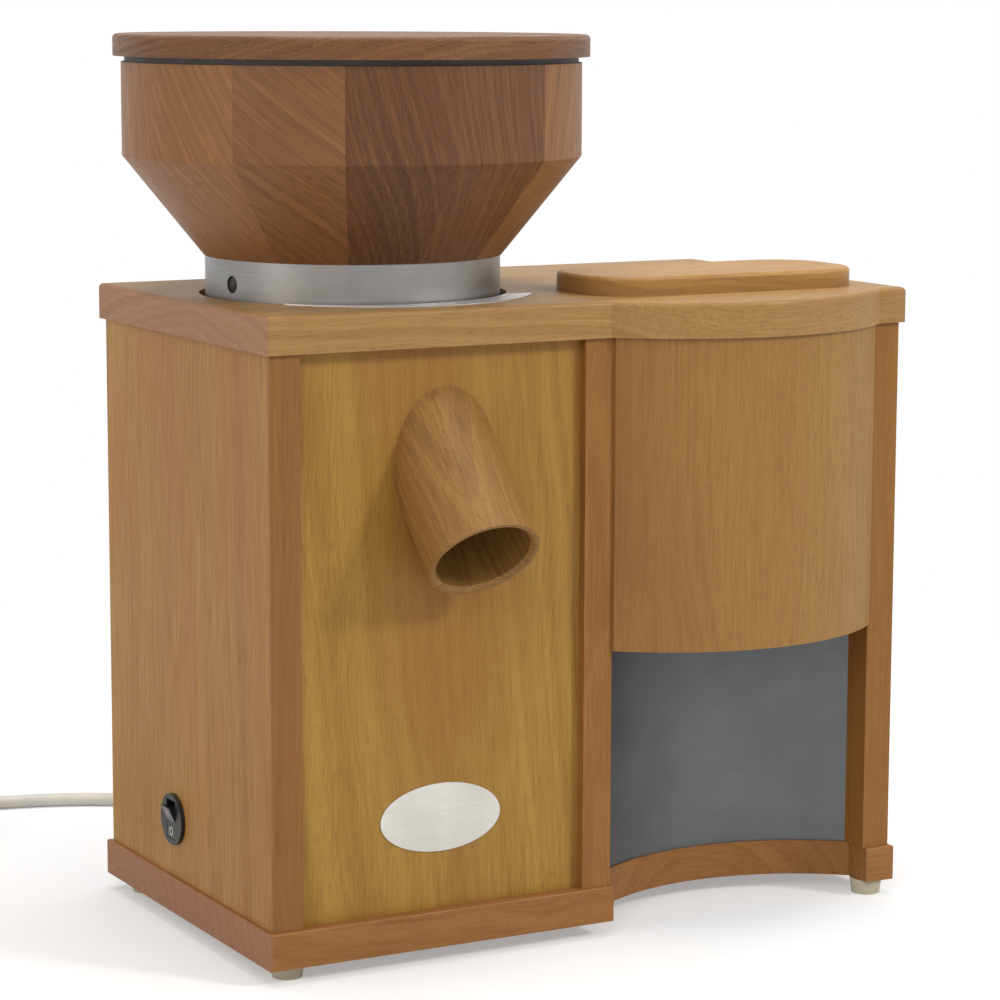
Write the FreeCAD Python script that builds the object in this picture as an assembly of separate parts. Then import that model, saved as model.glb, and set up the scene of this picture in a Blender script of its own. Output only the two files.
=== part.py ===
import FreeCAD, Part
import math
import os
from FreeCAD import Vector as V

# Grain mill (left) and grain flaker (right) in one wooden cabinet. All sizes in mm.
# The parts are laid out from the cabinet's front left corner: x to the right, y to the back, z up
# from the table. At the end they are moved so that the origin is the middle of the footprint.

# Cabinet boards
board = 16.0
wall = 14.0
wall_height = 244.0
reveal = 2.0
edge_round = 2.0
front_panel_thick = 8.0
front_recess = 4.5
rear_panel_thick = 10.0
ring_hole_margin = 23.0
chamber_side_gap = 8.0
flaker_half_bay = 68.0
rear_panel_gap = 1.0
foot_height = 7.0
foot_radius = 7.5
foot_taper = 1.0
foot_inset = 14.0
right_foot_inset = 9.0
foot_screw_depth = 10.0

# Bow front and bowl niche
bow_radius = 103.0
bow_bulge = 28.0
bow_panel_thick = 4.0
bow_panel_height = 138.0
niche_radius = 103.0
niche_depth = 41.0
niche_side_overhang = 1.0
liner_sheet = 1.0
flaker_floor_thick = 10.0

# Grinding chamber and stones
chamber_radius = 60.0
chamber_bore = 46.0
chamber_top_gap = 5.0
chamber_height = 56.0
chamber_floor = 8.0
stone_radius = 42.5
stone_thick = 14.0
stone_gap = 0.2
feed_hole_radius = 13.0
carrier_thick = 4.0
carrier_clear = 3.0
holder_thick = 4.0
lug_count = 3
lug_width = 11.6
lug_reach = 54.0
lug_clear = 0.2
spring_radius = 3.6

# Adjusting ring, hopper and lid
ring_hole_radius = 68.0
ring_outer = 65.2
thread_clear = 0.1
ring_height = 56.0
ring_web = 5.0
ring_top = 33.0
ring_mark_radius = 3.7
ring_mark_angle = 191.0
hopper_radius = 100.9
hopper_wall = 9.0
hopper_cone_height = 43.5
hopper_rim_height = 40.5
hopper_base_radius = 65.8
hopper_neck_radius = 24.0
spigot_clear = 0.05
lid_radius = 104.4
lid_thick = 9.5
lid_seal_thick = 2.6
lid_seal_radius = 99.4
lid_plug_depth = 6.0
lid_plug_clear = 1.0

# Flour spout
spout_x = 86.0
spout_radius = 24.3
spout_bore = 21.0
spout_bore_depth = 40.0
spout_length = 140.0
spout_bore_step = 0.6
spout_chamfer = 1.6
spout_block_wall = 5.0
spout_block_bite = 4.0
spout_block_drop = 22.0
spout_port_start = 2.0
spout_angle = 45.0
spout_mouth_y = -28.5
spout_mouth_below_top = 86.6
spout_back_y = 20.0
spout_port_width = 34.0
spout_port_height = 22.0
spout_back_wall = 5.0

# Mill motor
motor_radius = 50.0
motor_length = 108.0
motor_shell = 3.0
motor_plate_thick = 4.0
motor_shaft_radius = 6.0
stator_height = 56.0
air_gap = 0.6
rotor_radius = 28.0
bearing_outer = 16.0
bearing_thick = 9.0
bearing_fit = 0.02
fan_radius = 40.0
fan_blades = 8
bearing_cup_wall = 5.0
lower_bearing_height = 18.0
spider_arms = 4
spider_ring_wall = 4.0
spider_arm_width = 8.0
cooling_slots = 8
cooling_slot_width = 6.0
cooling_slot_height = 10.0
cooling_slot_rise = 4.0
fan_height = 10.0
fan_disc_thick = 1.5
fan_blade_thick = 1.6
fan_hub_wall = 4.0
fan_rise = 4.0
stator_rise = 34.0
shaft_end_rise = 2.0
plate_front_gap = 6.0
rail_width = 12.0
rail_height = 18.0

# Flaker
roller_radius = 17.0
roller_length = 54.0
roller_gap = 0.4
roller_mid_y = 27.0
roller_axis_below_top = 71.0
axle_radius = 5.0
shaft_fit = 0.05
bush_flange = 2.0
bush_wall = 3.0
side_plate_thick = 4.0
side_plate_clear = 3.0
gear_teeth = 20
pinion_teeth = 18
gear_width = 8.0
gear_clear = 2.6
backlash = 0.3
gearbox_depth = 58.0
gearbox_height = 60.0
gearbox_width = 34.0
gear_motor_radius = 24.0
gear_motor_length = 60.0
bush_flange_rim = 2.0
side_plate_margin = 14.0
pinion_shaft_clear = 1.0
scraper_reach = 10.0
scraper_tip = 2.0
pinion_shaft_inset = 10.0
pinion_shaft_end = 2.0
scraper_thick = 1.0
scraper_gap = 0.3
feed_top_width = 104.0
feed_top_depth = 46.0
feed_slot_width = 50.0
feed_slot_depth = 10.0
feed_wall = 2.0
feed_y = 42.0
outlet_width = 60.0
outlet_depth = 20.0
flaker_lid_width = 138.5
flaker_lid_depth = 62.0
flaker_lid_thick = 8.5
flaker_lid_corner = 24.0
flaker_lid_x = 236.75

# Rocker switches
switch_y = 105.5
switch_above_base = 26.5
bezel_radius = 11.5
bezel_thick = 2.0
barrel_radius = 10.0
barrel_fit = 0.05
switch_length = 26.0
rocker_length = 15.0
rocker_width = 9.0
rocker_clear = 0.3
rocker_end_clear = 1.3
rocker_pivot_depth = 4.0
rocker_well_depth = 10.0
rocker_back_depth = 2.0
rocker_back_inset = 2.0
switch_pin_bite = 3.0
rocker_tilt = 12.0
pivot_radius = 1.0
pivot_fit = 0.05

# Plates, screws and small parts
name_plate_width = 58.0
name_plate_height = 30.0
name_plate_x = 83.5
name_plate_above_base = 40.0
sheet_plate = 0.6
scale_plate_thick = 0.4
scale_shift_x = 6.0
scale_shift_y = 10.0
scale_left = 60.0
scale_right = 69.0
scale_back = 44.0
scale_hole_clear = 0.6
screw_radius = 2.0
screw_head_radius = 4.0
screw_head_thick = 2.5
vent_count = 7
vent_first_x = 60.0
vent_pitch = 8.0
vent_width = 3.0
vent_height = 40.0
vent_rise = 60.0
capacitor_radius = 15.0
capacitor_length = 62.0

# Cord, its put-away coil and the plug
cord_radius = 3.3
gland_x = 84.0
gland_height = 45.0
gland_length = 24.0
gland_radius = 7.0
gland_tip_radius = 4.6
gland_flange_radius = 11.0
gland_flange_thick = 3.0
coil_x = -75.0
coil_y = 308.0
coil_outer = 44.6
coil_pitch = 7.2
coil_turns_per_layer = 2.375
coil_lift = 1.6
coil_lead = 7.0
plug_lead = 28.0
tie_thick = 1.2
tie_width = 14.0
tie_clear = 0.4
plug_length = 46.0
plug_neck_width = 11.0
plug_neck_share = 0.6
plug_width = 34.0
pin_radius = 2.4
pin_length = 19.0
pin_spacing = 19.0

# Levels and places worked out from the sizes above
bow_centre_y = bow_radius - bow_bulge
niche_centre_y = niche_depth - niche_radius
base_top = foot_height + board
plate_bottom = base_top + wall_height
plate_top = plate_bottom + board
inner_left = reveal + wall
mill_x = inner_left + chamber_side_gap + chamber_radius
mill_y = ring_hole_margin + ring_hole_radius
middle_left = mill_x + chamber_radius + chamber_side_gap
middle_panel_right = middle_left + wall
flaker_x = middle_panel_right + flaker_half_bay
cabinet_width = flaker_x + flaker_half_bay + wall + reveal
cabinet_depth = mill_y + ring_hole_radius + ring_hole_margin
inner_right = cabinet_width - reveal - wall
panel_back = cabinet_depth - reveal - rear_panel_gap
rear_face = panel_back - rear_panel_thick
front_face = reveal + front_recess
bow_bottom = plate_bottom - bow_panel_height
floor_bottom = bow_bottom + 4.0
floor_top = floor_bottom + flaker_floor_thick
chamber_top = plate_bottom - chamber_top_gap
chamber_bottom = chamber_top - chamber_height
cavity_floor = chamber_bottom + chamber_floor
lower_stone_bottom = cavity_floor + carrier_clear + carrier_thick
upper_stone_bottom = lower_stone_bottom + stone_thick + stone_gap
upper_stone_top = upper_stone_bottom + stone_thick
holder_top = upper_stone_top + holder_thick
ring_bottom = plate_bottom + ring_top - ring_height
hopper_bottom = plate_bottom + ring_top
ring_web_bottom = chamber_top + 1.0
ring_web_top = ring_web_bottom + ring_web
hopper_corner = hopper_bottom + hopper_cone_height
hopper_rim = hopper_corner + hopper_rim_height
lid_bottom = hopper_rim + lid_seal_thick
lid_top = lid_bottom + lid_thick
motor_plate_bottom = chamber_bottom - motor_plate_thick
motor_bottom = motor_plate_bottom - motor_length
roller_distance = 2 * roller_radius + roller_gap
roller_z = plate_bottom - roller_axis_below_top
front_roller_y = roller_mid_y - roller_distance / 2
rear_roller_y = roller_mid_y + roller_distance / 2
gear_module = roller_distance / gear_teeth
pinion_distance = gear_module * (gear_teeth + pinion_teeth) / 2
pinion_y = rear_roller_y + pinion_distance
left_plate_x = flaker_x - roller_length / 2 - side_plate_clear - side_plate_thick
right_plate_x = flaker_x + roller_length / 2 + side_plate_clear
gear_x = right_plate_x + side_plate_thick + gear_clear
spout_lean = math.radians(spout_angle)
spout_mouth = V(spout_x, spout_mouth_y, plate_bottom - spout_mouth_below_top)
spout_axis = V(0, -math.sin(spout_lean), -math.cos(spout_lean))
spout_front = spout_mouth_y - spout_radius * math.cos(spout_lean)
gland_tip_y = panel_back + gland_flange_thick + gland_length
origin_y = (spout_front + gland_tip_y) / 2
switch_z = base_top + switch_above_base
rocker_rise = rocker_length / 2 * math.tan(math.radians(rocker_tilt))
rocker_proud = rocker_pivot_depth + rocker_rise
switch_reach = bezel_thick - rocker_pivot_depth + rocker_proud * math.cos(math.radians(rocker_tilt)) \
    + rocker_length / 2 * math.sin(math.radians(rocker_tilt))
origin_x = (mill_x - lid_radius + cabinet_width - reveal + switch_reach) / 2

parts = {}


def box(x0, x1, y0, y1, z0, z1):
    return Part.makeBox(x1 - x0, y1 - y0, z1 - z0, V(x0, y0, z0))


def upright(x, y, radius, z0, z1):
    return Part.makeCylinder(radius, z1 - z0, V(x, y, z0))


def along_x(y, z, radius, x0, x1):
    return Part.makeCylinder(radius, x1 - x0, V(x0, y, z), V(1, 0, 0))


def tube(x, y, outer, inner, z0, z1):
    return upright(x, y, outer, z0, z1).cut(upright(x, y, inner, z0, z1))


def turned(profile, x, y):
    """Solid turned about the upright axis at x, y from (radius, height) pairs."""
    points = [V(x + r, y, z) for r, z in profile]
    face = Part.Face(Part.makePolygon(points + points[:1]))
    return face.revolve(V(x, y, 0), V(0, 0, 1), 360)


def upright_edges(shape):
    return [e for e in shape.Edges if len(e.Vertexes) == 2
            and abs(e.Vertexes[0].X - e.Vertexes[1].X) < 1e-6
            and abs(e.Vertexes[0].Y - e.Vertexes[1].Y) < 1e-6]


def level_edges(shape, z):
    return [e for e in shape.Edges if abs(e.BoundBox.ZMin - z) < 1e-6 and abs(e.BoundBox.ZMax - z) < 1e-6]


def circle_crossing(centre_y, radius, line_x, side):
    """Height in y where a circle about the flaker's middle passes a line of constant x."""
    return centre_y + side * math.sqrt(radius ** 2 - (line_x - flaker_x) ** 2)


# Cabinet

def plate_outline():
    """Cabinet outline in plan, with the bow in front of the flaker."""
    reach = math.sqrt(bow_radius ** 2 - bow_centre_y ** 2)
    left = V(flaker_x - reach, 0, 0)
    right = V(flaker_x + reach, 0, 0)
    bow = Part.Arc(left, V(flaker_x, bow_centre_y - bow_radius, 0), right).toShape()
    corners = [right, V(cabinet_width, 0, 0), V(cabinet_width, cabinet_depth, 0), V(0, cabinet_depth, 0),
               V(0, 0, 0), left]
    sides = [Part.makeLine(a, b) for a, b in zip(corners, corners[1:])]
    return Part.Face(Part.Wire([bow] + sides))


def top_plate():
    plate = plate_outline().extrude(V(0, 0, board))
    plate.translate(V(0, 0, plate_bottom))
    plate = plate.makeFillet(edge_round, level_edges(plate, plate_top))
    plate = plate.cut(upright(mill_x, mill_y, ring_hole_radius, plate_bottom, plate_top))
    half = V(feed_top_width / 2, feed_top_depth / 2, 0)
    return plate.cut(box(flaker_x - half.x, flaker_x + half.x, feed_y - half.y, feed_y + half.y,
                         plate_bottom, plate_top))


def base_board():
    left = middle_panel_right + niche_side_overhang
    right = inner_right + niche_side_overhang
    depth_left = circle_crossing(niche_centre_y, niche_radius, left, 1)
    depth_right = circle_crossing(niche_centre_y, niche_radius, right, 1)
    arc = Part.Arc(V(left, depth_left, 0), V(flaker_x, niche_centre_y + niche_radius, 0),
                   V(right, depth_right, 0)).toShape()
    corners = [V(right, depth_right, 0), V(right, 0, 0), V(cabinet_width, 0, 0),
               V(cabinet_width, cabinet_depth, 0), V(0, cabinet_depth, 0), V(0, 0, 0), V(left, 0, 0),
               V(left, depth_left, 0)]
    sides = [Part.makeLine(a, b) for a, b in zip(corners, corners[1:])]
    base = Part.Face(Part.Wire([arc] + sides)).extrude(V(0, 0, board))
    base.translate(V(0, 0, foot_height))
    outer = [e for e in level_edges(base, base_top) if e.BoundBox.YMax < 1e-6 or e.BoundBox.XMax < 1e-6
             or e.BoundBox.XMin > cabinet_width - 1e-6 or e.BoundBox.YMin > cabinet_depth - 1e-6]
    base = base.makeFillet(edge_round / 2, outer)
    for x, y in foot_places():
        base = base.cut(upright(x, y, screw_radius, foot_height, foot_height + foot_screw_depth))
    return base


def side_panel(x):
    return box(x, x + wall, reveal, panel_back, base_top, plate_bottom)


def left_panel():
    hole = along_x(switch_y, switch_z, barrel_radius, reveal, inner_left)
    return side_panel(reveal).cut(hole)


def right_panel():
    hole = along_x(switch_y, switch_z, barrel_radius, inner_right, inner_right + wall)
    return side_panel(inner_right).cut(hole)


def middle_panel():
    return box(middle_left, middle_panel_right, reveal, rear_face, base_top, plate_bottom)


def front_panel():
    panel = box(inner_left, middle_left, front_face, front_face + front_panel_thick, base_top, plate_bottom)
    return panel.cut(spout_body())


def rear_panel():
    panel = box(inner_left, inner_right, rear_face, panel_back, base_top, plate_bottom)
    hole = Part.makeCylinder(gland_radius, rear_panel_thick, V(gland_x, rear_face, gland_height), V(0, 1, 0))
    vents = []
    for i in range(vent_count):
        x = vent_first_x + i * vent_pitch
        vents.append(box(x - vent_width / 2, x + vent_width / 2, rear_face, panel_back,
                         base_top + vent_rise, base_top + vent_rise + vent_height))
    return panel.cut(hole).cut(Part.makeCompound(vents))


def bow_shell(outer, z0, z1):
    """Curved veneer panel between the two side panels."""
    inner = outer - bow_panel_thick
    ring = tube(flaker_x, bow_centre_y, outer, inner, z0, z1)
    return ring.common(box(middle_panel_right, inner_right, bow_centre_y - bow_radius, front_face, z0, z1))


def bow_panel():
    return bow_shell(bow_radius - reveal, bow_bottom, plate_bottom)


def flaker_floor():
    inner = upright(flaker_x, bow_centre_y, bow_radius - reveal - bow_panel_thick, floor_bottom, floor_top)
    window = box(middle_panel_right, inner_right, -bow_radius, front_face, floor_bottom, floor_top)
    front = inner.common(window)
    back = box(middle_panel_right, inner_right, front_face, rear_face, floor_bottom, floor_top)
    half = outlet_width / 2
    hole = box(flaker_x - half, flaker_x + half, roller_mid_y - outlet_depth / 2,
               roller_mid_y + outlet_depth / 2, floor_bottom, floor_top)
    return front.fuse(back).removeSplitter().cut(hole)


def niche_liner():
    sheet = tube(flaker_x, niche_centre_y, niche_radius + liner_sheet + 1.0, niche_radius + 1.0,
                 base_top, floor_bottom)
    return sheet.common(box(middle_panel_right, inner_right, 0, cabinet_depth, base_top, floor_bottom))


def foot_places():
    right = cabinet_width - foot_inset
    back = cabinet_depth - foot_inset
    return [(foot_inset, foot_inset), (cabinet_width - right_foot_inset, right_foot_inset),
            (foot_inset, back), (right, back)]


def feet():
    solids = []
    for x, y in foot_places():
        foot = Part.makeCone(foot_radius - foot_taper, foot_radius, foot_height, V(x, y, 0))
        foot = foot.cut(upright(x, y, screw_head_radius, 0, foot_height / 2))
        solids.append(foot.cut(upright(x, y, screw_radius, 0, foot_height)))
    return Part.makeCompound(solids)


def screw_up(x, y, z, length):
    """Countersunk wood screw driven upwards, head at z."""
    head = Part.makeCone(screw_head_radius - 0.2, screw_radius, screw_head_thick, V(x, y, z))
    return head.fuse(upright(x, y, screw_radius, z + screw_head_thick, z + length)).removeSplitter()


def foot_screws():
    low = foot_height / 2 - screw_head_thick
    return Part.makeCompound([screw_up(x, y, low, foot_height - low + foot_screw_depth)
                              for x, y in foot_places()])


# Grinding chamber and stones

def lug_places():
    return [90.0 + i * 360.0 / lug_count for i in range(lug_count)]


def turned_to(shape, angle):
    turned_shape = shape.copy()
    turned_shape.rotate(V(mill_x, mill_y, 0), V(0, 0, 1), angle)
    return turned_shape


def spout_block():
    half = spout_port_width / 2 + spout_block_wall
    return box(spout_x - half, spout_x + half, spout_back_y, mill_y - chamber_bore - spout_block_bite,
               chamber_bottom, chamber_top - spout_block_drop)


def spout_port():
    half = spout_port_width / 2
    return box(spout_x - half, spout_x + half, front_face + spout_port_start, mill_y - chamber_bore / 2,
               cavity_floor, cavity_floor + spout_port_height)


def grinding_chamber():
    body = turned([(motor_shaft_radius + 3.0, chamber_bottom), (chamber_radius, chamber_bottom),
                   (chamber_radius, chamber_top), (chamber_bore, chamber_top), (chamber_bore, cavity_floor),
                   (motor_shaft_radius + 3.0, cavity_floor)], mill_x, mill_y)
    body = body.fuse(spout_block()).removeSplitter()
    bore = upright(mill_x, mill_y, chamber_bore, cavity_floor, chamber_top)
    body = body.cut(bore).cut(spout_port())
    slot = box(mill_x, mill_x + lug_reach + 1.0, mill_y - lug_width / 2 - lug_clear,
               mill_y + lug_width / 2 + lug_clear, spring_seat(), chamber_top)
    for angle in lug_places():
        body = body.cut(turned_to(slot, angle))
    return body


def spring_seat():
    return upper_stone_bottom + 4.0


def spout_body():
    """Leaning cylinder of the spout from its mouth up to where it stops at the chamber block."""
    body = Part.makeCylinder(spout_radius, spout_length, spout_mouth, spout_axis * -1)
    return body.common(box(0, cabinet_width, -cabinet_depth, spout_back_y, 0, 2 * plate_bottom))


def spout():
    body = spout_body()
    inwards = spout_axis * -1
    relief = Part.makeCylinder(spout_bore + spout_bore_step, spout_length,
                               spout_mouth + inwards * spout_bore_depth, inwards)
    limit = box(0, cabinet_width, -cabinet_depth, spout_back_y - spout_back_wall, 0, plate_bottom)
    drilled = Part.makeCylinder(spout_bore, spout_bore_depth + spout_chamfer,
                                spout_mouth + spout_axis * spout_chamfer, inwards)
    body = body.cut(relief.common(limit)).cut(drilled).cut(spout_port())
    mouth = Part.makeCone(spout_bore, spout_bore + spout_chamfer, spout_chamfer,
                          spout_mouth - spout_axis * spout_chamfer, spout_axis)
    return body.cut(mouth)


def lower_stone():
    return tube(mill_x, mill_y, stone_radius, feed_hole_radius, lower_stone_bottom,
                lower_stone_bottom + stone_thick)


def upper_stone():
    return tube(mill_x, mill_y, stone_radius, feed_hole_radius, upper_stone_bottom, upper_stone_top)


def stone_holder():
    plate = tube(mill_x, mill_y, stone_radius, feed_hole_radius + 2.0, upper_stone_top, holder_top)
    lug = box(mill_x + stone_radius - 4.0, mill_x + lug_reach, mill_y - lug_width / 2, mill_y + lug_width / 2,
              upper_stone_top, holder_top)
    for angle in lug_places():
        plate = plate.fuse(turned_to(lug, angle))
    return plate.removeSplitter()


def stone_springs():
    x = mill_x + (chamber_bore + lug_reach) / 2
    spring = tube(x, mill_y, spring_radius, spring_radius - 1.0, spring_seat() + 0.2, upper_stone_top)
    return Part.makeCompound([turned_to(spring, angle) for angle in lug_places()])


def stone_carrier():
    hub = tube(mill_x, mill_y, motor_shaft_radius + 5.0, motor_shaft_radius, cavity_floor + 1.0,
               lower_stone_bottom)
    disc = tube(mill_x, mill_y, stone_radius - 1.0, motor_shaft_radius, lower_stone_bottom - carrier_thick,
                lower_stone_bottom)
    wiper = box(mill_x + stone_radius - 6.0, mill_x + chamber_bore - 0.8, mill_y - 2.0, mill_y + 2.0,
                cavity_floor + 0.5, lower_stone_bottom - carrier_thick + 1.0)
    rim = fuse_all([turned_to(wiper, angle) for angle in (0, 90, 180, 270)])
    collar = tube(mill_x, mill_y, feed_hole_radius - 0.1, motor_shaft_radius, lower_stone_bottom,
                  lower_stone_bottom + stone_thick - 5.0)
    return fuse_all([hub, disc, rim, collar])


def fuse_all(shapes):
    body = shapes[0]
    for shape in shapes[1:]:
        body = body.fuse(shape)
    return body.removeSplitter()


def carrier_nut():
    low = lower_stone_bottom + stone_thick - 5.0
    points = [V(mill_x + 9.0 * math.cos(math.radians(60 * i)), mill_y + 9.0 * math.sin(math.radians(60 * i)),
                low) for i in range(7)]
    nut = Part.Face(Part.makePolygon(points)).extrude(V(0, 0, 5.0))
    return nut.cut(upright(mill_x, mill_y, motor_shaft_radius, low, low + 5.0))


# Mill motor

def motor_plate():
    """Steel plate with the cup that holds the upper bearing."""
    front = spout_back_y + plate_front_gap
    plate = box(inner_left, middle_left, front, rear_face, motor_plate_bottom, chamber_bottom)
    low = chamber_bottom - bearing_thick
    cup = upright(mill_x, mill_y, bearing_outer + bearing_cup_wall, low, motor_plate_bottom)
    return plate.fuse(cup).removeSplitter().cut(upright(mill_x, mill_y, bearing_outer, low, chamber_bottom))


def motor_rails():
    top = motor_plate_bottom
    front = spout_back_y + plate_front_gap
    left = box(inner_left, inner_left + rail_width, front, rear_face, top - rail_height, top)
    right = box(middle_left - rail_width, middle_left, front, rear_face, top - rail_height, top)
    return Part.makeCompound([left, right])


def motor_housing():
    shell = tube(mill_x, mill_y, motor_radius, motor_radius - motor_shell, motor_bottom, motor_plate_bottom)
    seat = motor_bottom + lower_bearing_height
    spider = tube(mill_x, mill_y, bearing_outer + spider_ring_wall, bearing_outer, seat, seat + bearing_thick)
    half = spider_arm_width / 2
    arm = box(mill_x + bearing_outer + spider_ring_wall / 2, mill_x + motor_radius - motor_shell / 2,
              mill_y - half, mill_y + half, seat, seat + bearing_thick)
    arms = [turned_to(arm, (i + 0.5) * 360.0 / spider_arms) for i in range(spider_arms)]
    body = fuse_all([shell, spider] + arms)
    slot_low = motor_bottom + cooling_slot_rise
    slot = box(mill_x + motor_radius - 2 * motor_shell, mill_x + motor_radius + motor_shell,
               mill_y - cooling_slot_width / 2, mill_y + cooling_slot_width / 2,
               slot_low, slot_low + cooling_slot_height)
    slots = [turned_to(slot, i * 360.0 / cooling_slots) for i in range(cooling_slots)]
    return body.cut(Part.makeCompound(slots))


def stator():
    low = motor_bottom + stator_rise
    return tube(mill_x, mill_y, motor_radius - motor_shell, rotor_radius + air_gap, low, low + stator_height)


def rotor():
    low = motor_bottom + stator_rise
    return tube(mill_x, mill_y, rotor_radius, motor_shaft_radius, low, low + stator_height)


def motor_shaft():
    return upright(mill_x, mill_y, motor_shaft_radius, motor_bottom + shaft_end_rise,
                   lower_stone_bottom + stone_thick)


def motor_bearings():
    inner = motor_shaft_radius + bearing_fit
    low = motor_bottom + lower_bearing_height
    high = chamber_bottom - bearing_thick
    return Part.makeCompound([tube(mill_x, mill_y, bearing_outer, inner, low, low + bearing_thick),
                              tube(mill_x, mill_y, bearing_outer, inner, high, high + bearing_thick)])


def motor_fan():
    low = motor_bottom + fan_rise
    hub_radius = motor_shaft_radius + fan_hub_wall
    hub = tube(mill_x, mill_y, hub_radius, motor_shaft_radius, low, low + fan_height)
    disc = tube(mill_x, mill_y, fan_radius, motor_shaft_radius, low, low + fan_disc_thick)
    half = fan_blade_thick / 2
    blade = box(mill_x + hub_radius - half, mill_x + fan_radius - half, mill_y - half, mill_y + half,
                low + fan_disc_thick / 2, low + fan_height)
    return fuse_all([hub, disc] + [turned_to(blade, i * 360.0 / fan_blades) for i in range(fan_blades)])


def capacitor():
    return Part.makeCylinder(capacitor_radius, capacitor_length,
                             V(middle_left - capacitor_radius, rear_face - 3.0 - capacitor_radius, base_top))


# Adjusting ring, hopper and lid

def adjusting_ring():
    inner = chamber_radius + thread_clear
    ring = turned([(inner, ring_bottom), (ring_outer, ring_bottom), (ring_outer, hopper_bottom),
                   (ring_outer - 5.0, hopper_bottom), (ring_outer - 5.0, ring_web_top),
                   (hopper_neck_radius, ring_web_top), (hopper_neck_radius, holder_top + stone_gap),
                   (stone_radius - 4.0, holder_top + stone_gap), (stone_radius - 4.0, ring_web_bottom),
                   (inner, ring_web_bottom)], mill_x, mill_y)
    angle = math.radians(ring_mark_angle)
    height = plate_top + 6.5
    out = V(math.cos(angle), math.sin(angle), 0)
    start = V(mill_x, mill_y, height) + out * (ring_outer - 4.0)
    return ring.cut(Part.makeCylinder(ring_mark_radius, 6.0, start, out))


def hopper_bowl():
    spigot = ring_outer - 5.0 - spigot_clear
    inside = hopper_radius - hopper_wall
    return turned([(hopper_neck_radius, ring_web_top), (spigot, ring_web_top), (spigot, hopper_bottom),
                   (hopper_base_radius, hopper_bottom), (hopper_radius, hopper_corner),
                   (hopper_radius, hopper_rim), (inside, hopper_rim), (inside, hopper_corner + 8.0),
                   (hopper_neck_radius, ring_web_top + 4.0)], mill_x, mill_y)


def hopper_lid():
    plug = hopper_radius - hopper_wall - lid_plug_clear
    disc = turned([(0, hopper_rim - lid_plug_depth), (plug, hopper_rim - lid_plug_depth), (plug, lid_bottom),
                   (lid_radius, lid_bottom), (lid_radius, lid_top), (0, lid_top)], mill_x, mill_y)
    return disc.makeFillet(edge_round, level_edges(disc, lid_top))


def lid_seal():
    inner = hopper_radius - hopper_wall - lid_plug_clear
    return tube(mill_x, mill_y, lid_seal_radius, inner, hopper_rim, lid_bottom)


def scale_plate():
    """Thin crescent on the top plate in front of the adjusting ring."""
    top = plate_top + scale_plate_thick
    outer = upright(mill_x + scale_shift_x, mill_y - scale_shift_y, ring_hole_radius + 1.0, plate_top, top)
    inner = upright(mill_x, mill_y, ring_hole_radius + scale_hole_clear, plate_top, top)
    window = box(mill_x - scale_left, mill_x + scale_right, 0, mill_y - scale_back, plate_top, top)
    return outer.cut(inner).common(window)


def name_plate():
    z = base_top + name_plate_above_base
    oval = Part.Ellipse(V(0, 0, 0), name_plate_width / 2, name_plate_height / 2).toShape()
    face = Part.Face(Part.Wire(oval))
    plate = face.extrude(V(0, 0, sheet_plate))
    plate.rotate(V(0, 0, 0), V(1, 0, 0), 90)
    plate.translate(V(name_plate_x, front_face, z))
    return plate


# Rocker switches

def switch_body(face_x, side):
    """Round switch body through a side panel. side is -1 for the left panel, 1 for the right one."""
    flange = Part.makeCylinder(bezel_radius, bezel_thick, V(face_x, switch_y, switch_z), V(side, 0, 0))
    barrel = Part.makeCylinder(barrel_radius - barrel_fit, switch_length, V(face_x, switch_y, switch_z),
                               V(-side, 0, 0))
    outer_x = face_x + side * bezel_thick
    inner_x = outer_x - side * rocker_well_depth
    pocket = box(min(outer_x, inner_x), max(outer_x, inner_x), switch_y - rocker_width / 2 - rocker_clear,
                 switch_y + rocker_width / 2 + rocker_clear, switch_z - rocker_length / 2 - rocker_end_clear,
                 switch_z + rocker_length / 2 + rocker_end_clear)
    body = flange.fuse(barrel).removeSplitter().cut(pocket)
    return body.cut(switch_pin(face_x, side))


def switch_pin(face_x, side):
    x = face_x + side * (bezel_thick - rocker_pivot_depth)
    length = rocker_width + 2 * rocker_clear + switch_pin_bite
    return Part.makeCylinder(pivot_radius, length, V(x, switch_y - length / 2, switch_z), V(0, 1, 0))


def switch_rocker(face_x, side):
    """Rocker with its two faces at an angle, tipped so that its lower end is pressed in."""
    pivot = V(face_x + side * (bezel_thick - rocker_pivot_depth), switch_y, switch_z)
    half = rocker_length / 2
    low = half - rocker_back_inset
    profile = [V(-rocker_back_depth, 0, -low), V(rocker_proud, 0, -half), V(rocker_pivot_depth, 0, 0),
               V(rocker_proud, 0, half), V(-rocker_back_depth, 0, low)]
    points = [pivot + V(side * p.x, -rocker_width / 2, p.z) for p in profile]
    rocker = Part.Face(Part.makePolygon(points + points[:1])).extrude(V(0, rocker_width, 0))
    hole = Part.makeCylinder(pivot_radius + pivot_fit, rocker_width, pivot - V(0, rocker_width / 2, 0),
                             V(0, 1, 0))
    rocker = rocker.cut(hole)
    rocker.rotate(pivot, V(0, 1, 0), side * rocker_tilt)
    return rocker


# Flaker

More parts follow.
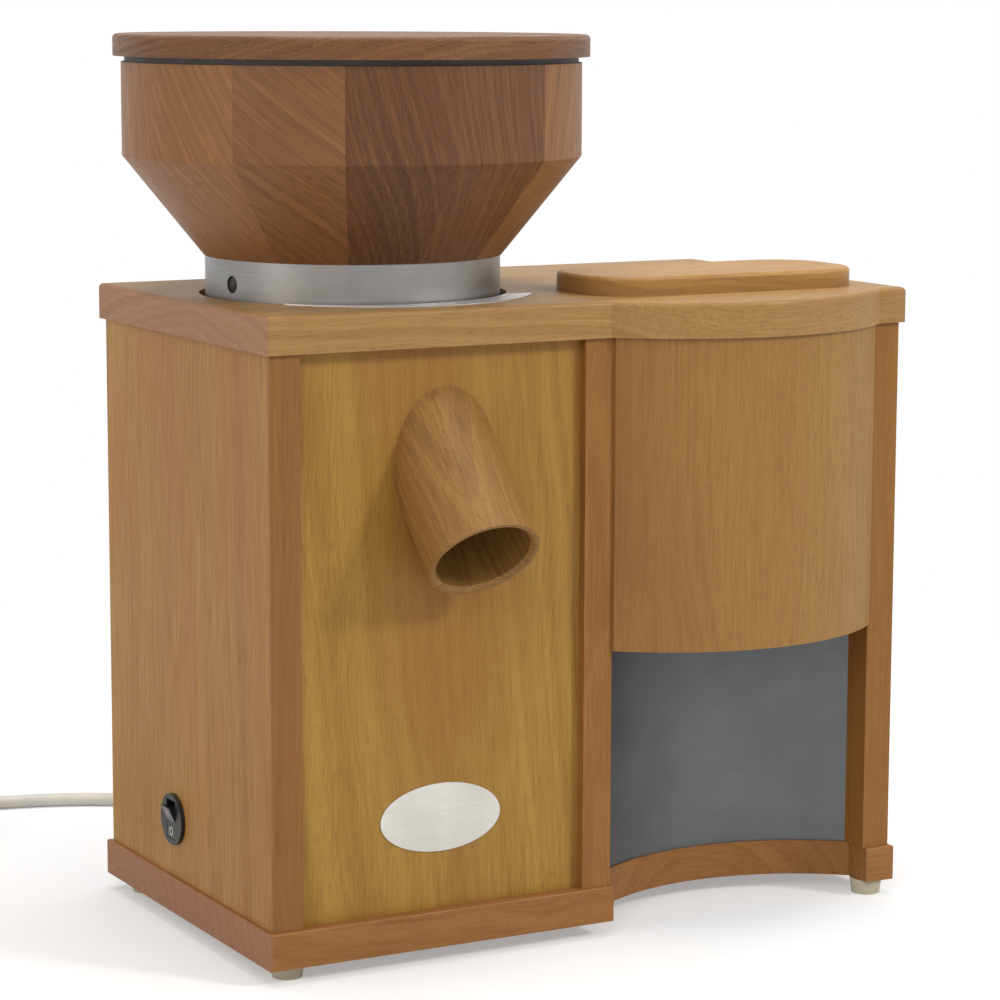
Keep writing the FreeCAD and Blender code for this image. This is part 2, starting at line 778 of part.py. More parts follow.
def gear(teeth, y, turn, x0=None):
    """Spur gear with involute flanks about an axis along x, its first tooth at the given turn."""
    pitch_radius = gear_module * teeth / 2
    base_radius = pitch_radius * math.cos(math.radians(20))
    tip = pitch_radius + 0.9 * gear_module
    root = pitch_radius - 1.25 * gear_module
    involute_at = lambda r: math.sqrt(max((r / base_radius) ** 2 - 1, 0)) - math.acos(min(base_radius / r, 1))
    half_tooth = math.pi / (2 * teeth) - backlash / (4 * pitch_radius) + involute_at(pitch_radius)
    radii = [max(base_radius, root), pitch_radius, tip]
    points = []
    for i in range(teeth):
        middle = math.radians(turn) + 2 * math.pi * i / teeth
        flank = [(r, half_tooth - involute_at(r)) for r in radii]
        outline = [(root, -flank[0][1])] + [(r, -a) for r, a in flank]
        outline += [(r, a) for r, a in reversed(flank)] + [(root, flank[0][1])]
        points += [V(gear_x, y + r * math.cos(middle + a), roller_z + r * math.sin(middle + a))
                   for r, a in outline]
    face = Part.Face(Part.makePolygon(points + points[:1]))
    body = face.extrude(V(gear_width, 0, 0))
    return body.cut(along_x(y, roller_z, axle_radius, gear_x, gear_x + gear_width))


def roller(y):
    left = flaker_x - roller_length / 2
    body = along_x(y, roller_z, roller_radius, left, left + roller_length)
    return body.cut(along_x(y, roller_z, axle_radius, left, left + roller_length))


def axle(y):
    return along_x(y, roller_z, axle_radius, left_plate_x - 4.0, gear_x + gear_width + 2.0)


def bearing_plates():
    """Two upright steel plates; the right one also carries the gearbox."""
    low = floor_top
    front = front_roller_y - side_plate_margin
    back = rear_roller_y + side_plate_margin
    top = roller_z + side_plate_margin
    gearbox_back = gearbox_front() + gearbox_depth
    left_end = left_plate_x + side_plate_thick
    right_end = right_plate_x + side_plate_thick
    left = box(left_plate_x, left_end, front, back, low, top)
    right = box(right_plate_x, right_end, front, gearbox_back, low, top)
    bracket = box(right_plate_x, right_end, gearbox_front(), gearbox_back, low, roller_z + gearbox_height / 2)
    right = right.fuse(bracket).removeSplitter()
    for y in (front_roller_y, rear_roller_y):
        hole = axle_radius + shaft_fit + bush_wall
        left = left.cut(along_x(y, roller_z, hole, left_plate_x, left_end))
        right = right.cut(along_x(y, roller_z, hole, right_plate_x, right_end))
    right = right.cut(along_x(pinion_y, roller_z, axle_radius + pinion_shaft_clear, right_plate_x, right_end))
    return Part.makeCompound([left, right])


def flaker_bushes():
    inner = axle_radius + shaft_fit
    left_seat = (left_plate_x, left_plate_x + side_plate_thick)
    right_seat = (right_plate_x, right_plate_x - bush_flange)
    solids = []
    for y in (front_roller_y, rear_roller_y):
        for x, flange_x in (left_seat, right_seat):
            body = along_x(y, roller_z, inner + bush_wall, x, x + side_plate_thick)
            rim = inner + bush_wall + bush_flange_rim
            flange = along_x(y, roller_z, rim, flange_x, flange_x + bush_flange)
            bore = along_x(y, roller_z, inner, x - side_plate_thick, x + 2 * side_plate_thick)
            solids.append(body.fuse(flange).removeSplitter().cut(bore))
    return Part.makeCompound(solids)


def gearbox_front():
    return rear_roller_y + roller_radius + 3.0


def gearbox():
    body = box(right_plate_x - gearbox_width, right_plate_x, gearbox_front(), gearbox_front() + gearbox_depth,
               roller_z - gearbox_height / 2, roller_z + gearbox_height / 2)
    body = body.makeFillet(4.0, upright_edges(body))
    return body.cut(along_x(pinion_y, roller_z, axle_radius + shaft_fit, right_plate_x - gearbox_width + 8.0,
                            right_plate_x))


def gear_motor():
    y = gearbox_front() + gearbox_depth / 2 + 4.0
    right = right_plate_x - gearbox_width
    return along_x(y, roller_z, gear_motor_radius, right - gear_motor_length, right)


def drive_pinion():
    return gear(pinion_teeth, pinion_y, 180.0)


def pinion_shaft():
    return along_x(pinion_y, roller_z, axle_radius, right_plate_x - gearbox_width + pinion_shaft_inset,
                   gear_x + gear_width + pinion_shaft_end)


def scraper_blades():
    top = roller_z - roller_radius - scraper_gap
    left = left_plate_x + side_plate_thick
    low = top - scraper_thick
    front = box(left, right_plate_x, front_roller_y - scraper_reach, front_roller_y + scraper_tip, low, top)
    rear = box(left, right_plate_x, rear_roller_y - scraper_tip, rear_roller_y + scraper_reach, low, top)
    return Part.makeCompound([front, rear])


def feed_wire(width, depth, y, z):
    x0 = flaker_x - width / 2
    corners = [V(x0, y - depth / 2, z), V(x0 + width, y - depth / 2, z), V(x0 + width, y + depth / 2, z),
               V(x0, y + depth / 2, z)]
    return Part.makePolygon(corners + corners[:1])


def flaker_hopper():
    """Sheet funnel from the opening in the top plate down to the gap between the rollers."""
    low = roller_z + roller_radius + 1.0
    wall2 = 2 * feed_wall
    outer = Part.makeLoft([feed_wire(feed_top_width + wall2, feed_top_depth + wall2, feed_y, plate_bottom),
                           feed_wire(feed_slot_width + wall2, feed_slot_depth + wall2, roller_mid_y, low)],
                          True, True)
    inner = Part.makeLoft([feed_wire(feed_top_width, feed_top_depth, feed_y, plate_bottom),
                           feed_wire(feed_slot_width, feed_slot_depth, roller_mid_y, low)], True, True)
    rim = box(flaker_x - feed_top_width / 2 - 8.0, flaker_x + feed_top_width / 2 + 8.0,
              feed_y - feed_top_depth / 2 - 8.0, feed_y + feed_top_depth / 2 + 8.0, plate_bottom - feed_wall,
              plate_bottom)
    return outer.fuse(rim).removeSplitter().cut(inner)


def flaker_lid():
    x0 = flaker_lid_x - flaker_lid_width / 2
    y0 = feed_y - flaker_lid_depth / 2
    lid = box(x0, x0 + flaker_lid_width, y0, y0 + flaker_lid_depth, plate_top, plate_top + flaker_lid_thick)
    lid = lid.makeFillet(flaker_lid_corner, upright_edges(lid))
    lid = lid.makeFillet(edge_round, level_edges(lid, plate_top + flaker_lid_thick))
    half = V(feed_top_width / 2 - 1.0, feed_top_depth / 2 - 1.0, 0)
    plug = box(flaker_x - half.x, flaker_x + half.x, feed_y - half.y, feed_y + half.y, plate_top - 5.0,
               plate_top)
    return lid.fuse(plug).removeSplitter()


# Cord

def arc_from(start, tangent, end):
    """Arc that leaves start along tangent and reaches end."""
    chord = end - start
    along = V(chord).normalize()
    aside = tangent - along * tangent.dot(along)
    if aside.Length < 1e-6:
        return Part.makeLine(start, end)
    half_turn = math.atan2(aside.Length, tangent.dot(along))
    middle = start + chord * 0.5 + aside.normalize() * (chord.Length / 2 * math.tan(half_turn / 2))
    return Part.Arc(start, middle, end).toShape()


def biarc(start, start_tangent, end, end_tangent):
    """Two arcs that join start to end with the given tangents."""
    span = end - start
    both = start_tangent + end_tangent
    spread = 2 * (1 - start_tangent.dot(end_tangent))
    reach = (-span.dot(both) + math.sqrt(span.dot(both) ** 2 + spread * span.dot(span))) / spread
    joint = (start + start_tangent * reach + end - end_tangent * reach) * 0.5
    middle_tangent = (end - end_tangent * reach - start - start_tangent * reach).normalize()
    return [arc_from(start, start_tangent, joint), arc_from(joint, middle_tangent, end)]


def rounded_route(points):
    """Straight runs joined by arcs that touch both."""
    edges = []
    last = points[0]
    radii = []
    for before, corner, after in zip(points, points[1:], points[2:]):
        into = corner - before
        out = after - corner
        shorter = min(into.Length, out.Length)
        half_turn = into.getAngle(out) / 2
        radii.append(0.45 * shorter / math.tan(half_turn))
        start = corner - into.normalize() * (0.45 * shorter)
        end = corner + out.normalize() * (0.45 * shorter)
        edges.append(Part.makeLine(last, start))
        edges.append(arc_from(start, V(into).normalize(), end))
        last = end
    edges.append(Part.makeLine(last, points[-1]))
    print("free cord bend radii", [round(r, 1) for r in radii])
    return Part.Wire(edges)


def swept(wire, radius):
    """Round tube along a wire."""
    start = wire.OrderedVertexes[0].Point
    first = wire.OrderedEdges[0]
    tangent = first.tangentAt(first.FirstParameter)
    if (first.valueAt(first.FirstParameter) - start).Length > 1e-6:
        tangent = first.tangentAt(first.LastParameter) * -1
    section = Part.Wire(Part.makeCircle(radius, start, tangent))
    return Part.Wire(wire.OrderedEdges).makePipeShell([section], True, False)


def coil_level():
    return cord_radius + coil_lift


def cord_points():
    """Route of the free cord from the gland to the coil."""
    start = panel_back + gland_flange_thick + gland_length
    lead_y = coil_y + coil_outer
    return [V(gland_x, start, gland_height), V(gland_x, start + 34, gland_height), V(84, 276, 14),
            V(76, 316, cord_radius), V(40, 338, cord_radius), V(-8, 350, cord_radius),
            V(-40, lead_y, coil_level()), V(coil_x + coil_lead, lead_y, coil_level())]


def coil_stations():
    """Points and directions every eighth turn: inwards below, a climb of half a turn, outwards above."""
    inward = coil_turns_per_layer * 4
    step = 0.5
    total = inward * 2 + 2
    count = int(round(total / step))
    stations = []
    for i in range(count + 1):
        turn = i * step
        angle = math.pi / 2 + turn * math.pi / 2
        slope = 0.0
        climb = 0.0
        if turn < inward:
            radius = coil_outer - coil_pitch * turn / 4
            slope = -coil_pitch
            height = 0.0
        elif turn > inward + 2:
            radius = coil_outer - coil_pitch * (total - turn) / 4
            slope = coil_pitch
            height = coil_pitch
        else:
            share = math.pi * (turn - inward) / 2
            dip = coil_pitch / (2 * math.pi)
            radius = coil_outer - coil_pitch * inward / 4 - dip * math.sin(share)
            slope = -coil_pitch * math.cos(share)
            height = coil_pitch * (1 - math.cos(share)) / 2
            climb = coil_pitch * math.pi * math.sin(share)
        out = V(math.cos(angle), math.sin(angle), 0)
        around = V(-math.sin(angle), math.cos(angle), 0)
        direction = around * (2 * math.pi * radius) + out * slope + V(0, 0, climb)
        stations.append((V(coil_x, coil_y, coil_level() + height) + out * radius, direction.normalize()))
    return stations


def coil_wire():
    stations = coil_stations()
    first, direction = stations[0]
    stations[0] = (first, V(-1, 0, 0))
    last, leaving = stations[-1]
    edges = [Part.makeLine(first + V(coil_lead, 0, 0), first)]
    for (a, ta), (b, tb) in zip(stations, stations[1:]):
        edges += biarc(a, ta, b, tb)
    edges.append(Part.makeLine(last, last + leaving * plug_lead))
    return Part.Wire(edges)


def cord_coil():
    wire = coil_wire()
    print("coil length", round(wire.Length, 1), "least gap", round(coil_gap(wire), 2))
    return swept(wire, cord_radius)


def coil_gap(wire):
    """Least distance between two places of the coil that lie apart along it, less the cord."""
    points = wire.discretize(Number=700)
    step = wire.Length / 699
    skip = int(8 * cord_radius / step) + 1
    least = 1e9
    for i in range(0, len(points), 2):
        for j in range(i + skip, len(points), 2):
            least = min(least, points[i].distanceToPoint(points[j]))
    return least - 2 * cord_radius


def cord_tie():
    """Flat band round the bundle of turns on the coil's right side."""
    turns_width = coil_pitch * coil_turns_per_layer
    middle = coil_outer - turns_width / 2
    half_w = turns_width / 2 + cord_radius + tie_clear + coil_pitch / 2
    bottom = coil_lift - tie_clear - tie_thick
    top = coil_level() + coil_pitch + cord_radius + tie_clear
    x = coil_x + middle
    half_h = tie_width / 2
    outer = box(x - half_w - tie_thick, x + half_w + tie_thick, coil_y - half_h, coil_y + half_h,
                bottom, top + tie_thick)
    inner = box(x - half_w, x + half_w, coil_y - half_h, coil_y + half_h, bottom + tie_thick, top)
    return outer.cut(inner)


def power_plug():
    """Slim two-pin plug lying at the end of the cord."""
    end, leaving = coil_stations()[-1]
    start = end + leaving * plug_lead
    side = V(0, 0, 1).cross(leaving)
    half_t = start.z
    front = plug_length * 0.62
    def section(reach, width):
        c = start + leaving * reach
        a = side * (width / 2)
        up = V(0, 0, half_t if reach else half_t * plug_neck_share)
        corners = [c - a - up, c + a - up, c + a + up, c - a + up]
        return Part.makePolygon(corners + corners[:1])
    sections = [section(0, plug_neck_width), section(front, plug_width), section(plug_length, plug_width)]
    body = Part.makeLoft(sections, True, True)
    for offset in (-pin_spacing / 2, pin_spacing / 2):
        foot = start + leaving * plug_length + side * offset
        body = body.fuse(Part.makeCylinder(pin_radius, pin_length, foot, leaving))
    return body


def cord_gland():
    flange = Part.makeCylinder(gland_flange_radius, gland_flange_thick, V(gland_x, panel_back, gland_height),
                               V(0, 1, 0))
    stem = Part.makeCylinder(gland_radius, rear_panel_thick, V(gland_x, rear_face, gland_height), V(0, 1, 0))
    sleeve = Part.makeCone(gland_radius, gland_tip_radius, gland_length,
                           V(gland_x, panel_back + gland_flange_thick, gland_height), V(0, 1, 0))
    return fuse_all([stem, flange, sleeve])


def build():
    parts["base_board"] = base_board()
    parts["top_plate"] = top_plate()
    parts["left_panel"] = left_panel()
    parts["middle_panel"] = middle_panel()
    parts["right_panel"] = right_panel()
    parts["front_panel"] = front_panel()
    parts["rear_panel"] = rear_panel()
    parts["bow_panel"] = bow_panel()
    parts["flaker_floor"] = flaker_floor()
    parts["niche_liner"] = niche_liner()
    parts["feet"] = feet()
    parts["foot_screws"] = foot_screws()
    parts["name_plate"] = name_plate()
    parts["scale_plate"] = scale_plate()
    parts["spout"] = spout()
    parts["grinding_chamber"] = grinding_chamber()
    parts["motor_plate"] = motor_plate()
    parts["motor_rails"] = motor_rails()
    parts["motor_housing"] = motor_housing()
    parts["stator"] = stator()
    parts["motor_bearings"] = motor_bearings()
    parts["capacitor"] = capacitor()
    parts["rotor"] = rotor()
    parts["motor_shaft"] = motor_shaft()
    parts["motor_fan"] = motor_fan()
    parts["stone_carrier"] = stone_carrier()
    parts["lower_stone"] = lower_stone()
    parts["carrier_nut"] = carrier_nut()
    parts["upper_stone"] = upper_stone()
    parts["stone_holder"] = stone_holder()
    parts["stone_springs"] = stone_springs()
    parts["adjusting_ring"] = adjusting_ring()
    parts["hopper_bowl"] = hopper_bowl()
    parts["hopper_lid"] = hopper_lid()
    parts["lid_seal"] = lid_seal()
    parts["mill_switch_body"] = switch_body(reveal, -1)
    parts["mill_switch_rocker"] = switch_rocker(reveal, -1)
    parts["flaker_switch_body"] = switch_body(cabinet_width - reveal, 1)
    parts["flaker_switch_rocker"] = switch_rocker(cabinet_width - reveal, 1)
    parts["switch_pins"] = Part.makeCompound([switch_pin(reveal, -1), switch_pin(cabinet_width - reveal, 1)])
    parts["bearing_plates"] = bearing_plates()
    parts["flaker_bushes"] = flaker_bushes()
    parts["gearbox"] = gearbox()
    parts["gear_motor"] = gear_motor()
    parts["scraper_blades"] = scraper_blades()
    parts["flaker_hopper"] = flaker_hopper()
    parts["flaker_lid"] = flaker_lid()
    parts["front_roller"] = roller(front_roller_y)
    parts["front_axle"] = axle(front_roller_y)
    parts["front_gear"] = gear(gear_teeth, front_roller_y, 0.0)
    parts["rear_roller"] = roller(rear_roller_y)
    parts["rear_axle"] = axle(rear_roller_y)
    parts["rear_gear"] = gear(gear_teeth, rear_roller_y, 180.0 / gear_teeth)
    parts["drive_pinion"] = drive_pinion()
    parts["pinion_shaft"] = pinion_shaft()
    parts["cord_gland"] = cord_gland()
    parts["power_cord"] = swept(rounded_route(cord_points()), cord_radius)
    parts["cord_coil"] = cord_coil()
    parts["cord_tie"] = cord_tie()
    parts["power_plug"] = power_plug()


def export():
    os.makedirs("parts", exist_ok=True)
    for name, shape in parts.items():
        moved = shape.copy()
        moved.translate(V(-origin_x, -origin_y, 0))
        moved.exportStep("parts/" + name + ".step")


build()
export()
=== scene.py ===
import bpy
import bmesh
import math
from mathutils import Matrix, Vector
from mathutils.bvhtree import BVHTree


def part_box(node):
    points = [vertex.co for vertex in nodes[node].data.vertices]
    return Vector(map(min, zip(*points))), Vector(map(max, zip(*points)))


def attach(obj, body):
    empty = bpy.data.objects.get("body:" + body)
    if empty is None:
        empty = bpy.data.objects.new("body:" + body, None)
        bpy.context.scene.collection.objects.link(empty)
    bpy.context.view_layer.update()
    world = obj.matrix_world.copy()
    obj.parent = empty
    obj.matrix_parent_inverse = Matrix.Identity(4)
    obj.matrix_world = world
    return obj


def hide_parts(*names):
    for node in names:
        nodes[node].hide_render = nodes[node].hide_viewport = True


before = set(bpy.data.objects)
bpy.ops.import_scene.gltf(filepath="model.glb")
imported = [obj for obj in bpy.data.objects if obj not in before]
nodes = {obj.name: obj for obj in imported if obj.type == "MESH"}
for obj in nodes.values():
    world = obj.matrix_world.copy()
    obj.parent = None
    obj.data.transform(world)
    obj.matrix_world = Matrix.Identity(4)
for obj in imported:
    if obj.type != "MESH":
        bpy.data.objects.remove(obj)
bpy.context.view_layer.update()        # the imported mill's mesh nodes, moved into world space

scene = bpy.context.scene
print("model loaded:", len(nodes), "nodes")

# Sizes below are millimetres from the cabinet's front left corner; origin is where the model's own lies.
cabinet = {"originX": 150.3156, "originY": 80.1587, "millX": 84.0, "millY": 91.0, "plateTop": 283.0,
           "panelBack": 179.0}


def place(x, y, z):
    return Vector(((x - cabinet["originX"]) / 1000, (y - cabinet["originY"]) / 1000, z / 1000))


def colour(code):
    parts = [int(code[i:i + 2], 16) / 255 for i in (1, 3, 5)]
    return tuple(p / 12.92 if p <= 0.04045 else ((p + 0.055) / 1.055) ** 2.4 for p in parts) + (1.0,)


def addNode(tree, kind, inputs=None, **settings):
    node = tree.nodes.new(kind)
    for key, value in settings.items():
        setattr(node, key, value)
    for key, value in (inputs or {}).items():
        if isinstance(value, bpy.types.NodeSocket):
            tree.links.new(value, node.inputs[key])
        else:
            node.inputs[key].default_value = value
    return node


def maths(tree, operation, *values):
    return addNode(tree, "ShaderNodeMath", dict(enumerate(values)), operation=operation).outputs[0]


def vectorMaths(tree, operation, *values):
    node = addNode(tree, "ShaderNodeVectorMath", dict(enumerate(values)), operation=operation)
    return node.outputs["Value" if operation == "LENGTH" else "Vector"]


def remap(tree, value, low, high, toLow=0.0, toHigh=1.0, soft=False):
    # what lies between low and high is laid out between toLow and toHigh
    return addNode(tree, "ShaderNodeMapRange",
                   {"Value": value, "From Min": low, "From Max": high, "To Min": toLow, "To Max": toHigh},
                   interpolation_type="SMOOTHSTEP" if soft else "LINEAR").outputs[0]


def blend(tree, share, first, second):
    return addNode(tree, "ShaderNodeMix", {0: share, 6: first, 7: second}, data_type="RGBA").outputs[2]


def noise(tree, vector, scale, detail, sharp=0.5):
    return addNode(tree, "ShaderNodeTexNoise", {"Vector": vector, "Scale": scale, "Detail": detail,
                                                "Roughness": sharp}).outputs[0]


def objectSeat(tree):
    return addNode(tree, "ShaderNodeTexCoord").outputs["Object"]


def part(tree, vector, axis):
    return addNode(tree, "ShaderNodeSeparateXYZ", {0: vector}).outputs[axis]


def addPiece(name, mesh, body, finish, smooth=True):
    piece = bpy.data.objects.new(name, mesh)
    scene.collection.objects.link(piece)
    mesh.materials.clear()
    mesh.materials.append(finish)
    for face in mesh.polygons:
        face.use_smooth = smooth
    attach(piece, body)
    return piece


# Camera: the photograph's standpoint, worked out from the straight edges of the cabinet
camera = {"stand": (-556.3, -1214.0, 412.6), "forward": (0.4749, 0.8668, -0.1517),
          "right": (0.8772, -0.4800, 0.0034), "lens": 118.2, "sensor": 36, "far": 50}


def setCamera():
    data = bpy.data.cameras.new("camera")
    eye = bpy.data.objects.new("camera", data)
    scene.collection.objects.link(eye)
    data.lens = camera["lens"]
    data.sensor_width = camera["sensor"]
    data.clip_end = camera["far"]
    forward = Vector(camera["forward"]).normalized()
    right = Vector(camera["right"])
    right = (right - forward * right.dot(forward)).normalized()
    up = right.cross(forward)
    turn = Matrix((right, up, -forward)).transposed().to_4x4()
    eye.matrix_world = Matrix.Translation(place(*camera["stand"])) @ turn
    scene.camera = eye


setCamera()

# Studio: a white sweep of paper, soft lamps over and beside it. A lamp has its place and width in metres,
# its watts and its tint; fade is from where to where the paper runs out to plain white.
studio = {"floorHalf": 9.0, "paper": "#D8DADD", "paperGlow": 0.34, "fade": (0.28, 0.8), "air": "#F4F5F7",
          "airStrength": 0.43, "white": {"Color": (1, 1, 1, 1), "Strength": 1.0}, "aim": (0, 0, 0.18),
          "lamps": {"overhead": ((0.1, 0.1, 2.4), 1.4, 31, "#FFFAF4"),
                    "rightLamp": ((1.35, -1.75, 1.6), 0.5, 26, "#FFFDF9"),
                    "leftLamp": ((-1.5, -1.9, 1.8), 1.4, 17, "#FFFAF2"),
                    "sideFill": ((-2.3, -0.3, 0.9), 1.3, 11, "#FFF4E6")}}


def seenDirectly(tree):
    # what the camera, a mirror or glass sees, as against what lights the object
    path = addNode(tree, "ShaderNodeLightPath").outputs
    either = maths(tree, "MAXIMUM", path["Is Camera Ray"], path["Is Glossy Ray"])
    return maths(tree, "MAXIMUM", either, path["Is Transmission Ray"])


def makePaper():
    paper = bpy.data.materials.new("paperSweep")
    paper.use_nodes = True
    tree = paper.node_tree
    tree.nodes.clear()
    seen = seenDirectly(tree)
    matt = addNode(tree, "ShaderNodeBsdfDiffuse", {"Color": colour(studio["paper"])})
    strength = maths(tree, "MULTIPLY", seen, studio["paperGlow"])
    glow = addNode(tree, "ShaderNodeEmission", {**studio["white"], "Strength": strength})
    lit = addNode(tree, "ShaderNodeAddShader", {0: matt.outputs[0], 1: glow.outputs[0]})
    away = vectorMaths(tree, "LENGTH", objectSeat(tree))
    shown = maths(tree, "MULTIPLY", remap(tree, away, *studio["fade"], soft=True), seen)
    white = addNode(tree, "ShaderNodeEmission", studio["white"])
    whole = addNode(tree, "ShaderNodeMixShader", {0: shown, 1: lit.outputs[0], 2: white.outputs[0]})
    addNode(tree, "ShaderNodeOutputMaterial", {"Surface": whole.outputs[0]})
    return paper


def makeAir():
    world = bpy.data.worlds.new("air")
    scene.world = world
    world.use_nodes = True
    tree = world.node_tree
    tree.nodes.clear()
    air = addNode(tree, "ShaderNodeBackground", {"Color": colour(studio["air"]),
                                                 "Strength": studio["airStrength"]})
    white = addNode(tree, "ShaderNodeBackground", studio["white"])
    mixed = addNode(tree, "ShaderNodeMixShader", {0: seenDirectly(tree), 1: air.outputs[0],
                                                  2: white.outputs[0]})
    addNode(tree, "ShaderNodeOutputWorld", {"Surface": mixed.outputs[0]})


def setStudio():
    half = studio["floorHalf"]
    mesh = bpy.data.meshes.new("floor")
    mesh.from_pydata([(-half, -half, 0), (half, -half, 0), (half, half, 0), (-half, half, 0)], [],
                     [(0, 1, 2, 3)])
    floor = bpy.data.objects.new("floor", mesh)
    scene.collection.objects.link(floor)
    mesh.materials.append(makePaper())
    makeAir()
    for name, (spot, size, power, tint) in studio["lamps"].items():
        data = bpy.data.lights.new(name, "AREA")
        data.shape = "DISK"
        data.size = size
        data.energy = power
        data.color = colour(tint)[:3]
        lamp = bpy.data.objects.new(name, data)
        scene.collection.objects.link(lamp)
        lamp.location = spot
        lamp.rotation_euler = (Vector(studio["aim"]) - Vector(spot)).to_track_quat("-Z", "Y").to_euler()
    scene.view_settings.view_transform = "Standard"


setStudio()
print("camera, lamps and floor set")


def newFinish(name):
    finish = bpy.data.materials.new(name)
    finish.use_nodes = True
    tree = finish.node_tree
    tree.nodes.clear()
    shader = addNode(tree, "ShaderNodeBsdfPrincipled")
    addNode(tree, "ShaderNodeOutputMaterial", {"Surface": shader.outputs[0]})
    return finish, tree, shader


def coat(tree, shader, ground, rough, height, strength, relief):
    # relief: depth of the surface's texture in mm
    bump = addNode(tree, "ShaderNodeBump", {"Height": height, "Strength": strength,
                                            "Distance": relief / 1000})
    tree.links.new(ground, shader.inputs["Base Color"])
    tree.links.new(bump.outputs[0], shader.inputs["Normal"])
    if isinstance(rough, float):
        shader.inputs["Roughness"].default_value = rough
    else:
        tree.links.new(rough, shader.inputs["Roughness"])


# Oiled beech. Sizes in mm: ring is the width of a year ring, pith the log's middle across the board,
# fleckLength and fleckWidth the size of the short dark rays, plank the width of a glued board. Grain runs
# along z after turn. A Scale is how fast a pattern runs per mm across and along the grain, and a Range is
# the part of a noise that shows. logStep is how far apart in the log two boards are cut.
beech = {"pale": "#C09868", "dark": "#A0743F", "warm": "#B27C50", "fleckTone": "#7E5630",
         "ring": 5.0, "pith": (30.0, 140.0), "taper": 0.03,
         "bend": 10.0, "bendScale": (0.016, 0.016, 0.006), "bendDetail": 2.0,
         "figure": 0.55, "figureRange": (0.3, 0.7), "figureDetail": 2.0, "figureSharp": 0.6,
         "lateShare": 0.35, "lateSharp": 5.0,
         "fibre": 0.45, "fibreScale": (0.95, 0.95, 0.035), "fibreRange": (0.32, 0.68),
         "fibreDetail": 3.0, "fibreSharp": 0.6,
         "warmth": 0.4, "warmScale": (0.02, 0.02, 0.006), "warmRange": (0.38, 0.66), "warmDetail": 3.0,
         "fleck": 0.35, "fleckLength": 5.0, "fleckWidth": 0.9, "fleckRange": (0.56, 0.72),
         "fleckDetail": 1.0,
         "turn": (0, 0, 0), "plank": 0, "plankTone": 0.5, "logStep": (90, 90, 400), "seam": 0.0,
         "seamWidth": 0.012, "staves": 0, "staveLean": 1.1, "staveRings": (0.35, 0.35, 0),
         "edgeTone": 0.0, "edgeAxis": 0, "edgeWidth": 2.5, "edgeColours": ("#A0745A", "#86583C"),
         "gloss": 0.28, "rough": (0.40, 0.56), "roughRange": (0.3, 0.7), "relief": 0.12, "reliefShare": 0.5,
         "poreDepth": -0.6}
alongX = (0, -math.pi / 2, 0)
alongY = (math.pi / 2, 0, 0)


def plankSeat(tree, grain, look):
    # each glued board is cut from another place of the log
    share = maths(tree, "DIVIDE", part(tree, grain, 0), look["plank"])
    pick = addNode(tree, "ShaderNodeTexWhiteNoise", {"W": maths(tree, "FLOOR", share)},
                   noise_dimensions="1D").outputs
    moved = vectorMaths(tree, "MULTIPLY_ADD", pick["Color"], look["logStep"], grain)
    return moved, pick["Value"], share


def steppedRamp(tree, share, values):
    ramp = addNode(tree, "ShaderNodeValToRGB", {0: share})
    steps = ramp.color_ramp
    steps.interpolation = "CONSTANT"
    for i, value in enumerate(values):
        stop = steps.elements.new(i / len(values)) if i else steps.elements[0]
        stop.color = (value, value, value, 1)
    steps.elements.remove(steps.elements[-1])
    return ramp.outputs[0]


def staveSeat(tree, seat, look):
    # staves stand round the bowl; each has its own slope of grain and its own tone
    home = (cabinet["originX"] - cabinet["millX"], cabinet["originY"] - cabinet["millY"], 0)
    local = vectorMaths(tree, "MULTIPLY_ADD", seat, (1000, 1000, 1000), home)
    angle = maths(tree, "ARCTAN2", part(tree, local, 1), part(tree, local, 0))
    turned = maths(tree, "MULTIPLY_ADD", angle, look["staves"] / (2 * math.pi), look["staveStart"])
    share = maths(tree, "FLOORED_MODULO", turned, look["staves"])
    count = maths(tree, "FLOOR", share)
    across = maths(tree, "MULTIPLY", maths(tree, "FRACT", share), look["staveWidth"])
    # the year rings show less where the bowl slopes in
    depth = vectorMaths(tree, "LENGTH", vectorMaths(tree, "MULTIPLY", local, look["staveRings"]))
    flat = addNode(tree, "ShaderNodeCombineXYZ", {0: across, 1: depth, 2: part(tree, local, 2)})
    pick = addNode(tree, "ShaderNodeTexWhiteNoise", {"W": count}, noise_dimensions="1D")
    middle = maths(tree, "DIVIDE", maths(tree, "ADD", count, 0.5), look["staves"])
    tone = steppedRamp(tree, middle, look["staveTones"])
    slope = steppedRamp(tree, middle, look["staveSlopes"])
    lean = remap(tree, slope, 0.0, 1.0, -look["staveLean"], look["staveLean"])
    leant = addNode(tree, "ShaderNodeVectorRotate", {"Vector": flat.outputs[0], "Axis": (0, 1, 0),
                                                     "Angle": lean})
    moved = vectorMaths(tree, "MULTIPLY_ADD", pick.outputs["Color"], look["logStep"], leant.outputs[0])
    return moved, tone, share


